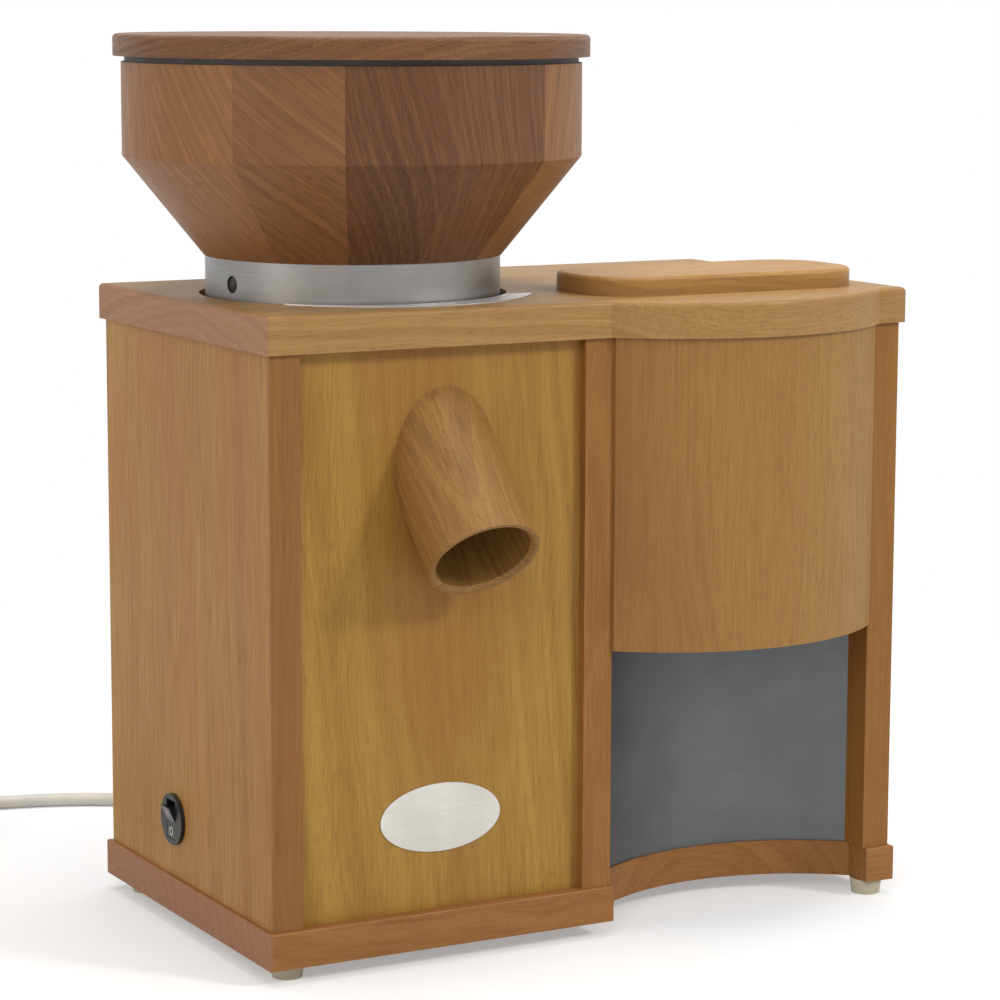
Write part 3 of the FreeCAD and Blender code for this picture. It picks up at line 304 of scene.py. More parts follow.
def woodFinish(name, **changes):
    look = {**beech, **changes}
    finish, tree, shader = newFinish("oiledBeech" + "".join(word.capitalize() for word in name.split("_")))
    seat = objectSeat(tree)
    tone, share = None, None
    if look["staves"]:
        grain, tone, share = staveSeat(tree, seat, look)
    else:
        grain = addNode(tree, "ShaderNodeMapping", {"Vector": seat, "Rotation": look["turn"],
                                                    "Scale": (1000, 1000, 1000)}).outputs[0]
        if look["plank"]:
            grain, tone, share = plankSeat(tree, grain, look)
    # year rings: cones round the pith, bent as the trunk grew
    drift = vectorMaths(tree, "MULTIPLY", grain, look["bendScale"])
    wander = addNode(tree, "ShaderNodeTexNoise", {"Vector": drift, "Scale": 1.0,
                                                  "Detail": look["bendDetail"]})
    sway = look["bend"] * 2
    bent = vectorMaths(tree, "MULTIPLY_ADD", wander.outputs["Color"], (sway, sway, 0), grain)
    fromPith = vectorMaths(tree, "SUBTRACT", bent, (*look["pith"], 0))
    radius = vectorMaths(tree, "LENGTH", vectorMaths(tree, "MULTIPLY", fromPith, (1, 1, 0)))
    cone = maths(tree, "MULTIPLY_ADD", part(tree, grain, 2), look["taper"], radius)
    years = maths(tree, "DIVIDE", cone, look["ring"])
    bands = addNode(tree, "ShaderNodeTexNoise", {"W": years, "Scale": 1.0, "Detail": look["figureDetail"],
                                                 "Roughness": look["figureSharp"]},
                    noise_dimensions="1D").outputs[0]
    late = maths(tree, "POWER", maths(tree, "FRACT", years), look["lateSharp"])
    figure = remap(tree, bands, *look["figureRange"], 0.0, look["figure"])
    lined = maths(tree, "MULTIPLY_ADD", late, look["figure"] * look["lateShare"], figure)
    # fine fibres, and the boards' own tones
    thin = vectorMaths(tree, "MULTIPLY", bent, look["fibreScale"])
    fibre = noise(tree, thin, 1.0, look["fibreDetail"], look["fibreSharp"])
    hair = remap(tree, fibre, *look["fibreRange"], -look["fibre"] / 2, look["fibre"] / 2)
    depth = maths(tree, "ADD", lined, hair)
    if tone:
        depth = maths(tree, "MULTIPLY_ADD", tone, look["plankTone"], depth)
    ground = blend(tree, depth, colour(look["pale"]), colour(look["dark"]))
    patch = vectorMaths(tree, "MULTIPLY", grain, look["warmScale"])
    cloud = noise(tree, patch, 1.0, look["warmDetail"])
    warmth = remap(tree, cloud, *look["warmRange"], 0.0, look["warmth"], soft=True)
    ground = blend(tree, warmth, ground, colour(look["warm"]))
    narrow = 1 / look["fleckWidth"]
    dash = vectorMaths(tree, "MULTIPLY", grain, (narrow, narrow, 1 / look["fleckLength"]))
    rays = noise(tree, dash, 1.0, look["fleckDetail"])
    rays = remap(tree, rays, *look["fleckRange"], 0.0, look["fleck"], soft=True)
    ground = blend(tree, rays, ground, colour(look["fleckTone"]))
    if share and look["seam"]:
        line = remap(tree, maths(tree, "PINGPONG", share, 1.0), 0.0, look["seamWidth"], look["seam"], 0.0)
        ground = blend(tree, line, ground, colour(look["fleckTone"]))
    if look["edgeTone"]:
        # an edge band in its own colours fades over edgeWidth from the lowest x, y or z: end grain that
        # took up more oil, and painted shade on the flaker lid's sides and the bow's left part
        axis = look["edgeAxis"]
        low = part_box(name)[0][axis]
        high = low + look["edgeWidth"] / 1000
        near = remap(tree, part(tree, seat, axis), low, high, look["edgeTone"], 0.0, soft=True)
        oilAndShadeColour = blend(tree, depth, *map(colour, look["edgeColours"]))
        ground = blend(tree, near, ground, oilAndShadeColour)
    rough = remap(tree, fibre, *look["roughRange"], *look["rough"])
    pore = maths(tree, "MULTIPLY_ADD", rays, look["poreDepth"], fibre)
    shader.inputs["Specular IOR Level"].default_value = look["gloss"]
    coat(tree, shader, ground, rough, pore, look["reliefShare"], look["relief"])
    return finish


# Tool marks on metal, with soft clouds under them; cloud is clouds per metre
metal = {"markDetail": 3.0, "markSharp": 0.65, "markShare": 0.6, "cloud": 28.0, "cloudDetail": 3.0,
         "tint": (0.6, 1.0), "bite": (0.3, 0.7), "strength": 0.4}


def metalFinish(name, base, worn, rough, lines, relief=0.02, spread=0.12, metallic=1.0):
    # lines: how many tool marks there are per mm along x, y and z
    finish, tree, shader = newFinish(name)
    seat = objectSeat(tree)
    tooled = addNode(tree, "ShaderNodeMapping", {"Vector": seat, "Scale": tuple(n * 1000 for n in lines)})
    fine = noise(tree, tooled.outputs[0], 1.0, metal["markDetail"], metal["markSharp"])
    soft = noise(tree, seat, metal["cloud"], metal["cloudDetail"])
    both = maths(tree, "MULTIPLY_ADD", fine, metal["markShare"], soft)
    ground = blend(tree, remap(tree, both, *metal["tint"]), colour(base), colour(worn))
    matt = remap(tree, fine, *metal["bite"], rough - spread / 2, rough + spread / 2)
    shader.inputs["Metallic"].default_value = metallic
    coat(tree, shader, ground, matt, fine, metal["strength"], relief)
    return finish


# The mould's texture on plastic and rubber, with soft clouds under it
moulded = {"gritDetail": 2.0, "cloud": 60.0, "cloudDetail": 3.0, "tint": (0.35, 0.65), "bite": (0.3, 0.7),
           "spread": 0.06, "strength": 0.4, "relief": 0.03}


def mouldedFinish(name, base, worn, rough, grit):
    # grit: size in mm of the mould's texture
    finish, tree, shader = newFinish(name)
    seat = objectSeat(tree)
    fine = noise(tree, seat, 1000 / grit, moulded["gritDetail"])
    soft = noise(tree, seat, moulded["cloud"], moulded["cloudDetail"])
    tint = remap(tree, soft, *moulded["tint"])
    ground = blend(tree, tint, colour(base), colour(worn))
    matt = remap(tree, fine, *moulded["bite"], rough - moulded["spread"], rough + moulded["spread"])
    coat(tree, shader, ground, matt, fine, moulded["strength"], moulded["relief"])
    return finish


# Bonded corundum: sharp pale grains, darker ones between, open pores; grain and depth in mm
stone = {"grain": 1.1, "depth": 0.4, "strength": 0.6, "rough": 0.85}


def stoneFinish(name, pale, dark):
    finish, tree, shader = newFinish(name)
    cells = addNode(tree, "ShaderNodeTexVoronoi", {"Vector": objectSeat(tree),
                                                   "Scale": 1000 / stone["grain"]}).outputs
    ground = blend(tree, part(tree, cells["Color"], 0), colour(pale), colour(dark))
    coat(tree, shader, ground, stone["rough"], cells["Distance"], stone["strength"], stone["depth"])
    return finish


# Plain weave of the tie: threads over and under; thread and depth in mm
woven = {"thread": 1.2, "waveTurn": 6.28, "unrest": 0.6, "depth": 0.3, "strength": 0.6, "rough": 0.9}


def wovenFinish(name, base, worn):
    finish, tree, shader = newFinish(name)
    seat = objectSeat(tree)
    rate = 1000 / woven["thread"] / 2
    over = addNode(tree, "ShaderNodeTexChecker", {"Vector": seat, "Scale": rate,
                                                  "Color1": colour(base), "Color2": colour(worn)})
    wave = addNode(tree, "ShaderNodeTexWave", {"Vector": seat, "Scale": rate / woven["waveTurn"],
                                               "Distortion": woven["unrest"]})
    coat(tree, shader, over.outputs[0], woven["rough"], wave.outputs[1], woven["strength"], woven["depth"])
    return finish


# Outside wood, board by board
leanAxis = (math.pi / 4, 0, 0)
woods = {
    "left_panel": dict(pale="#AE823E", dark="#865825", warm="#9A602B", plank=62, plankTone=0.3,
                       pith=(10, 60), turn=(0, 0, math.pi / 2), ring=9, taper=0.02, bend=4, figure=0.5,
                       fibre=0.5, warmth=0.42, fleck=0.3, fleckLength=7, fleckWidth=0.5, seam=0.25,
                       edgeTone=0.9, edgeAxis=1, edgeColours=("#8E6132", "#744A22")),
    "right_panel": dict(pale="#9A6D33", dark="#784D1F", warm="#8C5A29", turn=(0, 0, math.pi / 2),
                        pith=(40, 80), fleckWidth=0.5),
    "middle_panel": dict(pale="#9B6D35", dark="#7B4D22", warm="#8B592A", pith=(60, 120), ring=3,
                         fleck=0.3, fibre=0.55, fleckWidth=0.5),
    "front_panel": dict(pale="#A9843C", dark="#876022", warm="#905B2A", pith=(-190, 30), taper=0.09,
                        bend=9, ring=9, figure=0.5, fibre=0.5, warmth=0.5, fleck=0.42, fleckLength=7,
                        fleckWidth=0.4),
    # bow: the band over its left 118 mm is partly the board's redder tone and partly painted shade, which
    # leaves the right end lighter as if lit from the right
    "bow_panel": dict(pale="#A37E45", dark="#7C5926", warm="#8A612E", pith=(70, 160), ring=2.2,
                      figure=0.3, fibre=0.5, fleck=0.7, fleckLength=5, fleckWidth=0.4, taper=0.01, bend=5,
                      warmth=0.4, edgeTone=0.8, edgeWidth=118, edgeColours=("#986C3A", "#7E5124")),
    "top_plate": dict(pale="#A98652", dark="#8B6634", warm="#976E3E", turn=alongX, pith=(60, 70), ring=4,
                      edgeTone=0.8, plank=47, plankTone=0.25, fleck=0.4, fleckWidth=0.6, figure=0.4,
                      seam=0.2),
    "base_board": dict(pale="#9A6A38", dark="#7A4B20", warm="#8A5529", turn=alongX, pith=(30, 90), ring=4,
                       edgeTone=0.8, edgeColours=("#9A6A4A", "#7D4F31"), fleck=0.45, fleckLength=4,
                       fleckWidth=0.7, figure=0.4),
    "rear_panel": dict(pale="#B48F58", dark="#966D3A", warm="#A57746", pith=(20, 160), taper=0.06,
                       plank=95, plankTone=0.2, figure=0.4, fleckWidth=0.5, seam=0.2),
    "spout": dict(pale="#9A733C", dark="#684520", warm="#80562A", turn=leanAxis, pith=(16, 40), ring=2.4,
                  figure=0.5, fibre=0.5, fleck=0.8, fleckLength=5, fleckWidth=0.6),
    # flaker lid: the band is painted shade, with the sides darker towards the bottom under the lighter top
    "flaker_lid": dict(pale="#B48A4E", dark="#906932", warm="#A0763E", turn=alongX, pith=(20, 60), ring=4,
                       figure=0.4, fleckWidth=0.6, edgeTone=1.0, edgeAxis=2, edgeWidth=14,
                       edgeColours=("#956F45", "#755229")),
    "hopper_lid": dict(pale="#7F5838", dark="#55351F", warm="#6A4529", turn=alongY, plank=42,
                       plankTone=0.3, pith=(20, 60), ring=3, figure=0.7, fleckWidth=0.6, seam=0.2),
    "hopper_bowl": dict(pale="#A07045", dark="#533520", warm="#7B4C30", staves=13, staveStart=0.2537,
                        staveWidth=44.0, figure=0.22, fibre=0.26, warmth=0.3, fleck=0.35, fleckLength=5,
                        fleckWidth=0.6, plankTone=1.0, pith=(30, 40), ring=3.5, bend=6, seam=0.3,
                        staveTones=(0.3, 0.5, 0.3, 0.6, 0.35, 0.45, 0.2, 0.28, 0.46, 0.8, 0.7, 0.3, 0.45),
                        staveSlopes=(0.5, 0.3, 0.6, 0.4, 0.7, 0.5, 0.55, 0.72, 0.9, 0.6, 0.55, 0.45, 0.6)),
    "flaker_floor": dict(turn=alongX), "motor_rails": dict(turn=alongY),
}
# Everything else, by what it is made of
finishFor = {
    "adjusting_ring": metalFinish("turnedAluminium", "#989796", "#888684", 0.42, (0.02, 0.02, 4.0), 0.01,
                                  0.08),
    "name_plate": metalFinish("brushedAluminiumPlate", "#D4D2CD", "#C4C1BB", 0.42, (0.06, 0.06, 4.0), 0.01),
    "scale_plate": metalFinish("printedAluminiumFoil", "#D8D6D4", "#C4C2C0", 0.42, (0.05, 1.2, 1.2)),
    # niche liner: its dark grey is partly the sheet's own and partly painted shade of the recess
    "niche_liner": metalFinish("rolledStainlessSheet", "#6B6D6E", "#616364", 0.52, (0.06, 0.06, 5.0), 0.008,
                               0.06),
    "lid_seal": mouldedFinish("greySiliconeSeal", "#4A4845", "#3E3C3A", 0.6, 0.6),
    "feet": mouldedFinish("clearedRubberFoot", "#C9C3AC", "#B9B299", 0.45, 0.8),
    "foot_screws": metalFinish("zincWoodScrew", "#B9BCBF", "#9A9DA1", 0.35, (1.0, 1.0, 1.0)),
    "mill_switch_body": mouldedFinish("blackNylonSwitchBody", "#101012", "#161618", 0.4, 0.5),
    "mill_switch_rocker": mouldedFinish("blackPolycarbonateRocker", "#0C0C0E", "#121214", 0.3, 0.7),
    "switch_pins": metalFinish("drawnSteelPin", "#A9ABAE", "#8F9194", 0.3, (1.0, 0.05, 1.0)),
    "power_plug": mouldedFinish("whiteMouldedPlug", "#DEDCD6", "#D2D0C9", 0.42, 0.5),
    "cord_tie": wovenFinish("blackHookAndLoopTie", "#2A2A2C", "#3A3A3D"),
    "grinding_chamber": metalFinish("castAluminiumChamber", "#A4A6A8", "#8C8E91", 0.55, (0.6, 0.6, 0.6),
                                    0.1),
    "motor_plate": metalFinish("zincPlatedSteelPlate", "#B2B4B5", "#94979A", 0.4, (0.3, 0.3, 0.3)),
    "motor_housing": metalFinish("paintedMotorShell", "#3A3D42", "#2F3237", 0.5, (0.8, 0.8, 0.8), 0.06, 0.1,
                                 0.0),
    "stator": metalFinish("stackedLaminations", "#6B6A69", "#4D4C4B", 0.5, (0.03, 0.03, 2.0), 0.1),
    "rotor": metalFinish("turnedRotorLaminations", "#7C7B79", "#5C5B59", 0.4, (0.03, 0.03, 2.0), 0.1),
    "motor_shaft": metalFinish("groundShaftSteel", "#B7B9BB", "#A0A2A5", 0.24, (0.05, 0.05, 3.0)),
    "motor_bearings": metalFinish("polishedBearingSteel", "#C0C2C4", "#A9ABAD", 0.2, (0.3, 0.3, 2.0)),
    "motor_fan": mouldedFinish("whiteNylonFan", "#D8D5CC", "#CBC7BC", 0.45, 0.6),
    "capacitor": mouldedFinish("greyCapacitorCase", "#8D8F90", "#7F8182", 0.4, 0.5),
    "lower_stone": stoneFinish("bondedCorundumLower", "#CFC6B6", "#A2937F"),
    "stone_carrier": metalFinish("turnedCarrierSteel", "#A6A9AC", "#8D9094", 0.35, (0.4, 0.4, 1.2)),
    "carrier_nut": metalFinish("milledNutSteel", "#AEB0B2", "#96989B", 0.32, (0.6, 0.6, 0.6)),
    "stone_springs": metalFinish("drawnSpringSteel", "#8C8F93", "#75787C", 0.3, (0.4, 0.4, 1.5)),
    "flaker_hopper": metalFinish("foldedStainlessFunnel", "#B4B6B8", "#9C9FA2", 0.4, (0.05, 0.05, 1.2)),
    "bearing_plates": metalFinish("cutSteelPlate", "#9A9DA0", "#82868A", 0.42, (0.05, 0.6, 0.6)),
    "flaker_bushes": metalFinish("sinteredBronzeBush", "#A77B45", "#8C6434", 0.45, (1.4, 1.4, 1.4)),
    "gearbox": metalFinish("castGearboxZinc", "#8A8D90", "#74777A", 0.55, (0.7, 0.7, 0.7), 0.1),
    "front_roller": metalFinish("flutedRollerSteel", "#A9ACAF", "#8E9195", 0.3, (0.05, 0.9, 0.9)),
    "front_gear": metalFinish("hobbedGearSteel", "#9B9EA1", "#7E8286", 0.35, (0.1, 0.9, 0.9)),
    "rear_axle": metalFinish("groundAxleSteel", "#B5B7B9", "#9EA0A3", 0.25, (2.0, 0.05, 0.05)),
    "cord_gland": mouldedFinish("whiteSoftPvcGland", "#D9D7D0", "#CDCAC2", 0.5, 0.6),
}
sameAs = {
    "flaker_switch_body": "mill_switch_body", "flaker_switch_rocker": "mill_switch_rocker",
    "upper_stone": "lower_stone", "stone_holder": "grinding_chamber", "gear_motor": "motor_housing",
    "scraper_blades": "bearing_plates", "rear_roller": "front_roller", "rear_gear": "front_gear",
    "drive_pinion": "front_gear", "front_axle": "rear_axle", "pinion_shaft": "rear_axle",
    "power_cord": "cord_gland", "cord_coil": "cord_gland",
}
for node, changes in woods.items():
    finishFor[node] = woodFinish(node, **changes)
for node, model in sameAs.items():
    finishFor[node] = finishFor[model]
for node, piece in nodes.items():
    if not piece.material_slots:
        piece.data.materials.append(None)
    for held in piece.material_slots:
        held.material = finishFor[node]
print("finishes made:", len(finishFor), "of", len(nodes))


def lathe(name, profile, foot, axis, steps=48):
    # closed profile of (radius, distance along the axis) in mm, turned about the axis
    axis = Vector(axis).normalized()
    side = axis.orthogonal().normalized()
    other = axis.cross(side)
    shape = bmesh.new()
    rings = []
    for radius, along in profile:
        centre = foot + axis * along / 1000
        if radius < 1e-6:
            rings.append([shape.verts.new(centre)])
            continue
        rings.append([shape.verts.new(centre + (side * math.cos(t) + other * math.sin(t)) * radius / 1000)
                      for t in (2 * math.pi * i / steps for i in range(steps))])
    for low, high in zip(rings, rings[1:]):
        for i in range(steps):
            j = (i + 1) % steps
            corners = [low[i % len(low)], low[j % len(low)], high[j % len(high)], high[i % len(high)]]
            corners = [v for k, v in enumerate(corners) if v not in corners[:k]]
            if len(corners) > 2:
                shape.faces.new(corners)
    bmesh.ops.recalc_face_normals(shape, faces=shape.faces)
    mesh = bpy.data.meshes.new(name)
    shape.to_mesh(mesh)
    shape.free()
    return mesh


# Mains cord: one smooth line from the gland, over the table, round the put-away coil to the plug. The coil
# has two layers of perLayer quarter turns, with perTurn points in a full turn; level is the height of the
# lower layer's middle, plugLead the steps from the coil's end to the plug, length in metres.
cordSizes = {"radius": 3.3, "length": 1.467,
             "route": [(84, 206, 45), (84, 240, 45), (84, 276, 14), (76, 316, 3.3), (40, 338, 3.3),
                       (-8, 350, 3.3), (-40, 352.6, 4.9), (-68, 352.6, 4.9)],
             "coilX": -75.0, "coilY": 308.0, "outer": 44.6, "pitch": 7.2, "perLayer": 9.5, "perTurn": 16,
             "level": 4.9, "plugLead": (10.0, 19.0, 28.0), "order": 3, "smooth": 6, "roundness": 4}


def coilRadius(quarter):
    size = cordSizes
    inward = size["perLayer"]
    inner = size["outer"] - size["pitch"] * inward / 4
    if quarter <= inward:
        return size["outer"] - size["pitch"] * quarter / 4, 0.0
    if quarter >= inward + 2:
        return size["outer"] - size["pitch"] * (2 * inward + 2 - quarter) / 4, size["pitch"]
    share = math.pi * (quarter - inward) / 2
    drawn = size["pitch"] / (2 * math.pi) * math.sin(share)
    return inner - drawn, size["pitch"] * (1 - math.cos(share)) / 2


def makeCord():
    size = cordSizes
    points = list(size["route"])
    total = 2 * size["perLayer"] + 2
    count = int(total / 4 * size["perTurn"])
    reach = 1 / math.cos(math.pi / size["perTurn"])
    for i in range(count + 1):
        quarter = total * i / count
        radius, rise = coilRadius(quarter)
        angle = math.pi / 2 * (1 + quarter)
        stretch = reach if 0 < i < count else 1.0
        points.append((size["coilX"] + radius * stretch * math.cos(angle),
                       size["coilY"] + radius * stretch * math.sin(angle), size["level"] + rise))
    endX = size["coilX"] - size["outer"]
    for back in size["plugLead"]:
        points.append((endX, size["coilY"] - back, size["level"] + size["pitch"]))
    curve = bpy.data.curves.new("mainsCord", "CURVE")
    curve.dimensions = "3D"
    line = curve.splines.new("NURBS")
    line.points.add(len(points) - 1)
    for spot, point in zip(line.points, points):
        spot.co = (*place(*point), 1)
    line.order_u = size["order"]
    line.use_endpoint_u = True
    line.resolution_u = size["smooth"]
    curve.bevel_depth = size["radius"] / 1000
    curve.bevel_resolution = size["roundness"]
    curve.use_fill_caps = True
    cord = bpy.data.objects.new("mainsCord", curve)
    scene.collection.objects.link(cord)
    curve.materials.append(mouldedFinish("whitePvcCord", "#D8D6CE", "#CCC9C0", 0.42, 0.9))
    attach(cord, "cabinet")
    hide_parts("power_cord", "cord_coil")


makeCord()

# Strain relief: soft sleeve with ribs, tapered from the flange to the cord
sleeve = {"x": 84.0, "z": 45.0, "flange": 11.0, "flangeThick": 3.0, "flangeRound": 0.8,
          "flangeBevel": 1.0, "root": 7.0, "swell": 0.6, "tip": 4.6, "tipRound": (0.4, 0.3),
          "length": 24.0, "stemDepth": 10.0, "ribs": 6, "groove": 0.63,
          "ribShape": ((0.12, 0), (0.55, 0), (0.62, 1), (0.93, 1))}


def makeSleeve():
    size = sleeve
    thick = size["flangeThick"]
    profile = [(0, -size["stemDepth"]), (size["root"], -size["stemDepth"]), (size["root"], 0),
               (size["flange"] - size["flangeRound"], 0), (size["flange"], size["flangeRound"]),
               (size["flange"], thick - size["flangeBevel"]), (size["flange"] - size["flangeBevel"], thick),
               (size["root"] + size["swell"], thick)]
    step = size["length"] / size["ribs"]
    for i in range(size["ribs"]):
        for share, cut in size["ribShape"]:
            along = (i + share) * step
            slim = (size["tip"] - size["root"]) * along / size["length"]
            profile.append((size["root"] + slim - cut * size["groove"], thick + along))
    end = thick + size["length"]
    inward, back = size["tipRound"]
    profile += [(size["tip"], end - back), (size["tip"] - inward, end), (0, end)]
    mesh = lathe("glandSleeve", profile, place(size["x"], cabinet["panelBack"], size["z"]), (0, 1, 0))
    piece = addPiece("glandSleeve", mesh, "cabinet", finishFor["cord_gland"], smooth=False)
    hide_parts("cord_gland")


makeSleeve()
print("cord and strain relief laid")


def growPiece(name, tree, values, body, finish):
    # runs a geometry tree once and keeps its result as a plain mesh
    seed = bpy.data.objects.new(name + "Seed", bpy.data.meshes.new(name + "Seed"))
    scene.collection.objects.link(seed)
    grower = seed.modifiers.new("grow", "NODES")
    grower.node_group = tree
    for item in tree.interface.items_tree:
        if item.item_type == "SOCKET" and item.in_out == "INPUT" and item.name in values:
            grower[item.identifier] = values[item.name]
    seed.update_tag()
    graph = bpy.context.evaluated_depsgraph_get()
    mesh = bpy.data.meshes.new_from_object(seed.evaluated_get(graph))
    seed.modifiers.remove(grower)
    bpy.data.objects.remove(seed)
    mesh.name = name
    piece = addPiece(name, mesh, body, finish, smooth=False)
    return piece


def startTree(name, sockets):
    tree = bpy.data.node_groups.new(name, "GeometryNodeTree")
    for label, kind in sockets:
        tree.interface.new_socket(label, in_out="INPUT", socket_type=kind)
    tree.interface.new_socket("Geometry", in_out="OUTPUT", socket_type="NodeSocketGeometry")
    return tree, tree.nodes.new("NodeGroupInput").outputs


def endTree(tree, grown, finishSocket):
    real = addNode(tree, "GeometryNodeRealizeInstances", {0: grown})
    coated = addNode(tree, "GeometryNodeSetMaterial", {"Geometry": real.outputs[0],
                                                       "Material": finishSocket})
    addNode(tree, "NodeGroupOutput", {0: coated.outputs[0]})


# Printed scale on the foil in front of the ring: fine strokes round the arc, a longer one every fifth,
# figures beside the longer ones. Angles in degrees.
scale = {"count": 20, "first": -118.0, "step": 4.0, "radius": 72.2, "stroke": 0.45, "short": 1.8,
         "longEvery": 5, "longCount": 4, "longShare": 1.8, "foil": 0.4, "ink": 0.05, "figureHeight": 3.0,
         "figureOut": 4.6, "figureSmooth": 3}
inkFinish = mouldedFinish("screenPrintedInk", "#5B565C", "#6A646A", 0.6, 0.4)


def makeScale(long):
    name = "scaleStrokes" + ("Long" if long else "Short")
    tree, given = startTree(name, [("Count", "NodeSocketInt"), ("First Angle", "NodeSocketFloat"),
                                   ("Step Angle", "NodeSocketFloat"), ("Radius", "NodeSocketFloat"),
                                   ("Stroke", "NodeSocketVector"), ("Centre", "NodeSocketVector"),
                                   ("Ink", "NodeSocketMaterial")])
    line = addNode(tree, "GeometryNodeMeshLine", {"Count": given["Count"]})
    index = addNode(tree, "GeometryNodeInputIndex").outputs[0]
    angle = maths(tree, "MULTIPLY_ADD", index, given["Step Angle"], given["First Angle"])
    ray = addNode(tree, "ShaderNodeCombineXYZ", {0: maths(tree, "COSINE", angle),
                                                 1: maths(tree, "SINE", angle)}).outputs[0]
    arm = addNode(tree, "ShaderNodeVectorMath", {0: ray, "Scale": given["Radius"]},
                  operation="SCALE").outputs[0]
    spot = vectorMaths(tree, "ADD", arm, given["Centre"])
    spread = addNode(tree, "GeometryNodeSetPosition", {"Geometry": line.outputs[0],
                                                       "Position": spot}).outputs[0]
    bar = addNode(tree, "GeometryNodeMeshCube", {"Size": given["Stroke"]}).outputs[0]
    turn = addNode(tree, "ShaderNodeCombineXYZ", {2: angle}).outputs[0]
    bars = addNode(tree, "GeometryNodeInstanceOnPoints",
                   {"Points": spread, "Instance": bar, "Rotation": turn})
    endTree(tree, bars.outputs[0], given["Ink"])
    step = scale["step"] * (scale["longEvery"] if long else 1)
    length = scale["short"] * (scale["longShare"] if long else 1)
    radius = scale["radius"] + (length - scale["short"]) / 2
    centre = place(cabinet["millX"], cabinet["millY"],
                   cabinet["plateTop"] + scale["foil"] + scale["ink"] / 2)
    growPiece(name, tree, {"Count": scale["longCount" if long else "count"],
                           "First Angle": math.radians(scale["first"]), "Step Angle": math.radians(step),
                           "Radius": radius / 1000, "Centre": centre, "Ink": inkFinish,
                           "Stroke": (length / 1000, scale["stroke"] / 1000, scale["ink"] / 1000)},
              "cabinet", inkFinish)


makeScale(False)
makeScale(True)


def flatText(words, height):
    text = bpy.data.curves.new("figure", "FONT")
    text.body = words
    text.size = height / 1000
    text.align_x = "CENTER"
    text.align_y = "CENTER"
    text.resolution_u = scale["figureSmooth"]
    holder = bpy.data.objects.new("figure", text)
    scene.collection.objects.link(holder)
    bpy.context.view_layer.update()
    mesh = bpy.data.meshes.new_from_object(holder.evaluated_get(bpy.context.evaluated_depsgraph_get()))
    bpy.data.objects.remove(holder)
    return mesh


def makeFigures():
    # figures 2, 3 and 4 stand beside the longer strokes
    whole = bmesh.new()
    centre = place(cabinet["millX"], cabinet["millY"], cabinet["plateTop"] + scale["foil"] + scale["ink"])
    reach = (scale["radius"] + scale["figureOut"]) / 1000
    for i in range(1, scale["longCount"]):
        mesh = flatText(str(i + 1), scale["figureHeight"])
        angle = math.radians(scale["first"] + i * scale["step"] * scale["longEvery"])
        spot = centre + Vector((math.cos(angle), math.sin(angle), 0)) * reach
        mesh.transform(Matrix.Translation(spot) @ Matrix.Rotation(angle + math.pi / 2, 4, "Z"))
        whole.from_mesh(mesh)
        bpy.data.meshes.remove(mesh)
    mesh = bpy.data.meshes.new("scaleFigures")
    whole.to_mesh(mesh)
    whole.free()
    piece = addPiece("scaleFigures", mesh, "cabinet", inkFinish, smooth=False)


makeFigures()

# Countersunk screws that hold the back panel. A head is sunk inside a rim that reaches out in four arms,
# from crossIn to crossOut as shares of the head's radius; crossWidth is the sine where an arm ends.
rearScrews = {"columns": 5, "rows": 2, "firstX": 30.0, "lastX": 288.0, "lowZ": 31.0, "highZ": 259.0,
              "stand": 0.02, "head": 3.6, "dome": 0.5, "crossDepth": 0.45, "crossIn": 0.42,
              "crossOut": 0.74, "crossWidth": 0.35, "segments": 24}


def makeScrewHead():
    size = rearScrews
    shape = bmesh.new()
    bmesh.ops.create_circle(shape, cap_ends=False, segments=size["segments"], radius=size["head"] / 1000)
    rim = list(shape.verts)
    inner = []
    for vert in rim:
        angle = math.atan2(vert.co.y, vert.co.x)
        between = abs(math.sin(angle * 2)) > size["crossWidth"]
        radius = size["head"] * size["crossIn" if between else "crossOut"] / 1000
        inner.append(shape.verts.new((radius * math.cos(angle), radius * math.sin(angle),
                                      size["dome"] / 1000)))
    centre = shape.verts.new((0, 0, (size["dome"] - size["crossDepth"]) / 1000))
    for i in range(size["segments"]):
        j = (i + 1) % size["segments"]
        shape.faces.new((rim[i], rim[j], inner[j], inner[i]))
        shape.faces.new((inner[i], inner[j], centre))
    mesh = bpy.data.meshes.new("screwHead")
    shape.to_mesh(mesh)
    shape.free()
    mesh.transform(Matrix.Rotation(-math.pi / 2, 4, "X"))
    head = bpy.data.objects.new("screwHead", mesh)
    scene.collection.objects.link(head)
    return head


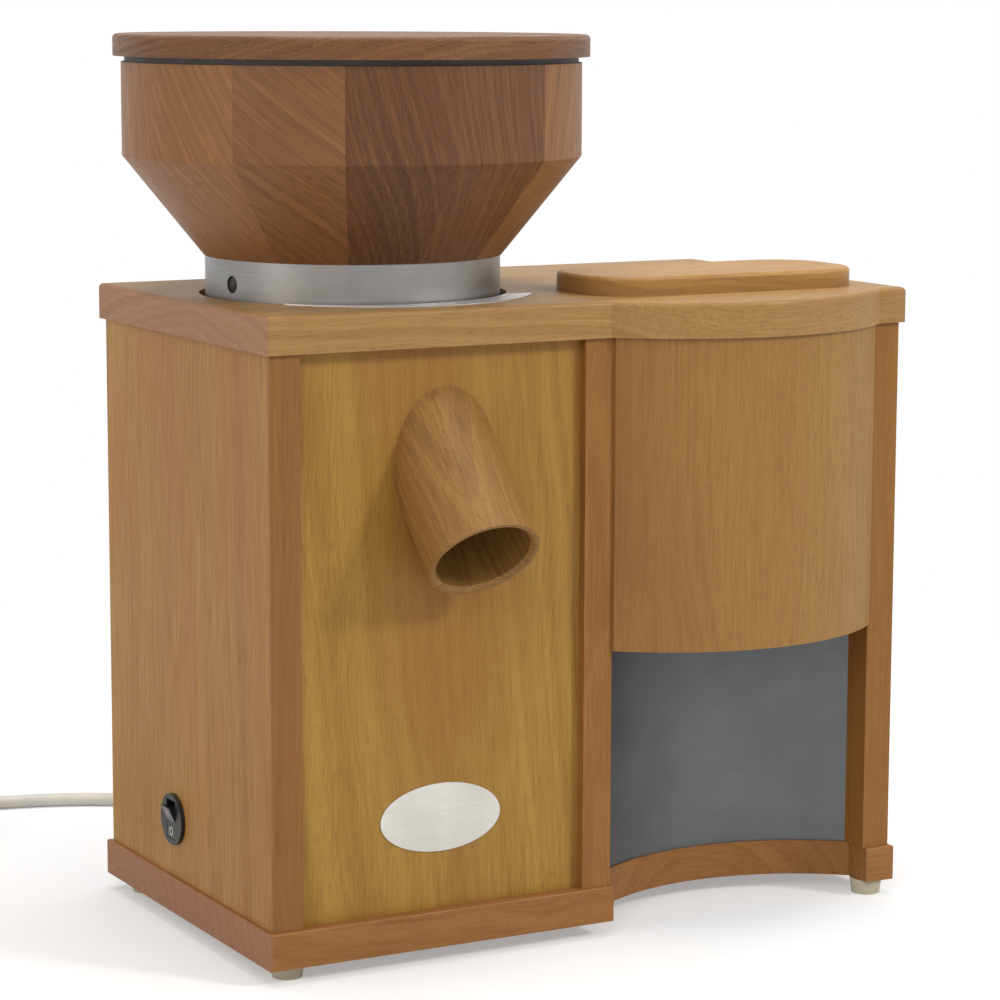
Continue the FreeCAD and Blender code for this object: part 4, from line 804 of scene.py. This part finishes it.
def makeRearScrews():
    size = rearScrews
    head = makeScrewHead()
    tree, given = startTree("screwRows", [("Columns", "NodeSocketInt"), ("Rows", "NodeSocketInt"),
                                          ("Width", "NodeSocketFloat"), ("Height", "NodeSocketFloat"),
                                          ("Centre", "NodeSocketVector"), ("Head", "NodeSocketObject"),
                                          ("Finish", "NodeSocketMaterial")])
    grid = addNode(tree, "GeometryNodeMeshGrid", {"Size X": given["Width"], "Size Y": given["Height"],
                                                  "Vertices X": given["Columns"],
                                                  "Vertices Y": given["Rows"]})
    stood = addNode(tree, "GeometryNodeTransform", {"Geometry": grid.outputs[0],
                                                    "Translation": given["Centre"],
                                                    "Rotation": (math.pi / 2, 0, 0)})
    source = addNode(tree, "GeometryNodeObjectInfo", {"Object": given["Head"]})
    heads = addNode(tree, "GeometryNodeInstanceOnPoints", {"Points": stood.outputs[0],
                                                           "Instance": source.outputs["Geometry"]})
    endTree(tree, heads.outputs[0], given["Finish"])
    centre = place((size["firstX"] + size["lastX"]) / 2, cabinet["panelBack"] + size["stand"],
                   (size["lowZ"] + size["highZ"]) / 2)
    growPiece("rearScrews", tree, {"Columns": size["columns"], "Rows": size["rows"],
                                   "Width": (size["lastX"] - size["firstX"]) / 1000,
                                   "Height": (size["highZ"] - size["lowZ"]) / 1000, "Centre": centre,
                                   "Head": head, "Finish": finishFor["foot_screws"]},
              "cabinet", finishFor["foot_screws"])
    bpy.data.objects.remove(head)


makeRearScrews()

# Black stop in the side of the adjusting ring
ringStop = {"angle": 191.0, "radius": 3.55, "length": 3.5, "height": 289.5, "ring": 65.2, "sunk": 0.5,
            "edge": (0.5, 0.4), "dish": 0.1, "steps": 32}


def makeRingStop():
    size = ringStop
    angle = math.radians(size["angle"])
    out = Vector((math.cos(angle), math.sin(angle), 0))
    foot = place(cabinet["millX"], cabinet["millY"], size["height"])
    foot += out * (size["ring"] - size["length"]) / 1000
    top = size["length"] - size["sunk"]
    inward, down = size["edge"]
    profile = [(0, 0), (size["radius"], 0), (size["radius"], top - down), (size["radius"] - inward, top),
               (0, top - size["dish"])]
    piece = addPiece("ringStop", lathe("ringStop", profile, foot, out, size["steps"]), "stone_carriage",
                     mouldedFinish("blackRubberStop", "#151515", "#1D1C1C", 0.55, 0.5))


makeRingStop()

# White marks on the rockers: a ring for off, a bar for on
marks = {"ring": 1.5, "tall": 1.2, "line": 0.42, "bar": 3.0, "barExtra": 0.05, "offset": 4.3,
         "lift": 0.06, "sunk": 0.05, "steps": 28, "from": 50.0}


def makeMarks(node, side, body, name):
    # the marks are drawn upright and pressed on to the rocker's two faces, from outside: side is -1 or 1
    tree = BVHTree.FromPolygons([v.co for v in nodes[node].data.vertices],
                                [p.vertices for p in nodes[node].data.polygons])
    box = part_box(node)
    middle = (Vector(box[0]) + Vector(box[1])) / 2
    outside = middle.x + side * marks["from"] / 1000
    outlines = []
    inner, outer = marks["ring"] - marks["line"] / 2, marks["ring"] + marks["line"] / 2
    for i in range(marks["steps"]):
        a, b = (2 * math.pi * k / marks["steps"] for k in (i, i + 1))
        outlines.append([(radius * math.cos(t), radius * marks["tall"] * math.sin(t) - marks["offset"])
                         for radius, t in ((inner, a), (outer, a), (outer, b), (inner, b))])
    half = marks["line"] / 2 + marks["barExtra"]
    low, high = marks["offset"] - marks["bar"] / 2, marks["offset"] + marks["bar"] / 2
    outlines.append([(-half, low), (half, low), (half, high), (-half, high)])
    shape = bmesh.new()
    for corners in outlines:
        layers = []
        for lift in (-marks["sunk"], marks["lift"]):
            spots = []
            for y, z in corners:
                start = Vector((outside, middle.y + y / 1000, middle.z + z / 1000))
                hit = tree.ray_cast(start, Vector((-side, 0, 0)))[0]
                spots.append(shape.verts.new((hit.x + side * lift / 1000, start.y, start.z)))
            layers.append(spots)
        shape.faces.new(layers[1])
        shape.faces.new(layers[0][::-1])
        for i in range(4):
            j = (i + 1) % 4
            shape.faces.new((layers[0][i], layers[0][j], layers[1][j], layers[1][i]))
    bmesh.ops.remove_doubles(shape, verts=shape.verts, dist=1e-7)
    bmesh.ops.recalc_face_normals(shape, faces=shape.faces)
    mesh = bpy.data.meshes.new(name)
    shape.to_mesh(mesh)
    shape.free()
    piece = addPiece(name, mesh, body, markFinish, smooth=False)


markFinish = mouldedFinish("whitePadPrint", "#E6E4DE", "#D9D7D0", 0.5, 0.4)
makeMarks("mill_switch_rocker", -1, "mill_rocker", "millSwitchMarks")
makeMarks("flaker_switch_rocker", 1, "flaker_rocker", "flakerSwitchMarks")
print("scale, screws and marks made")
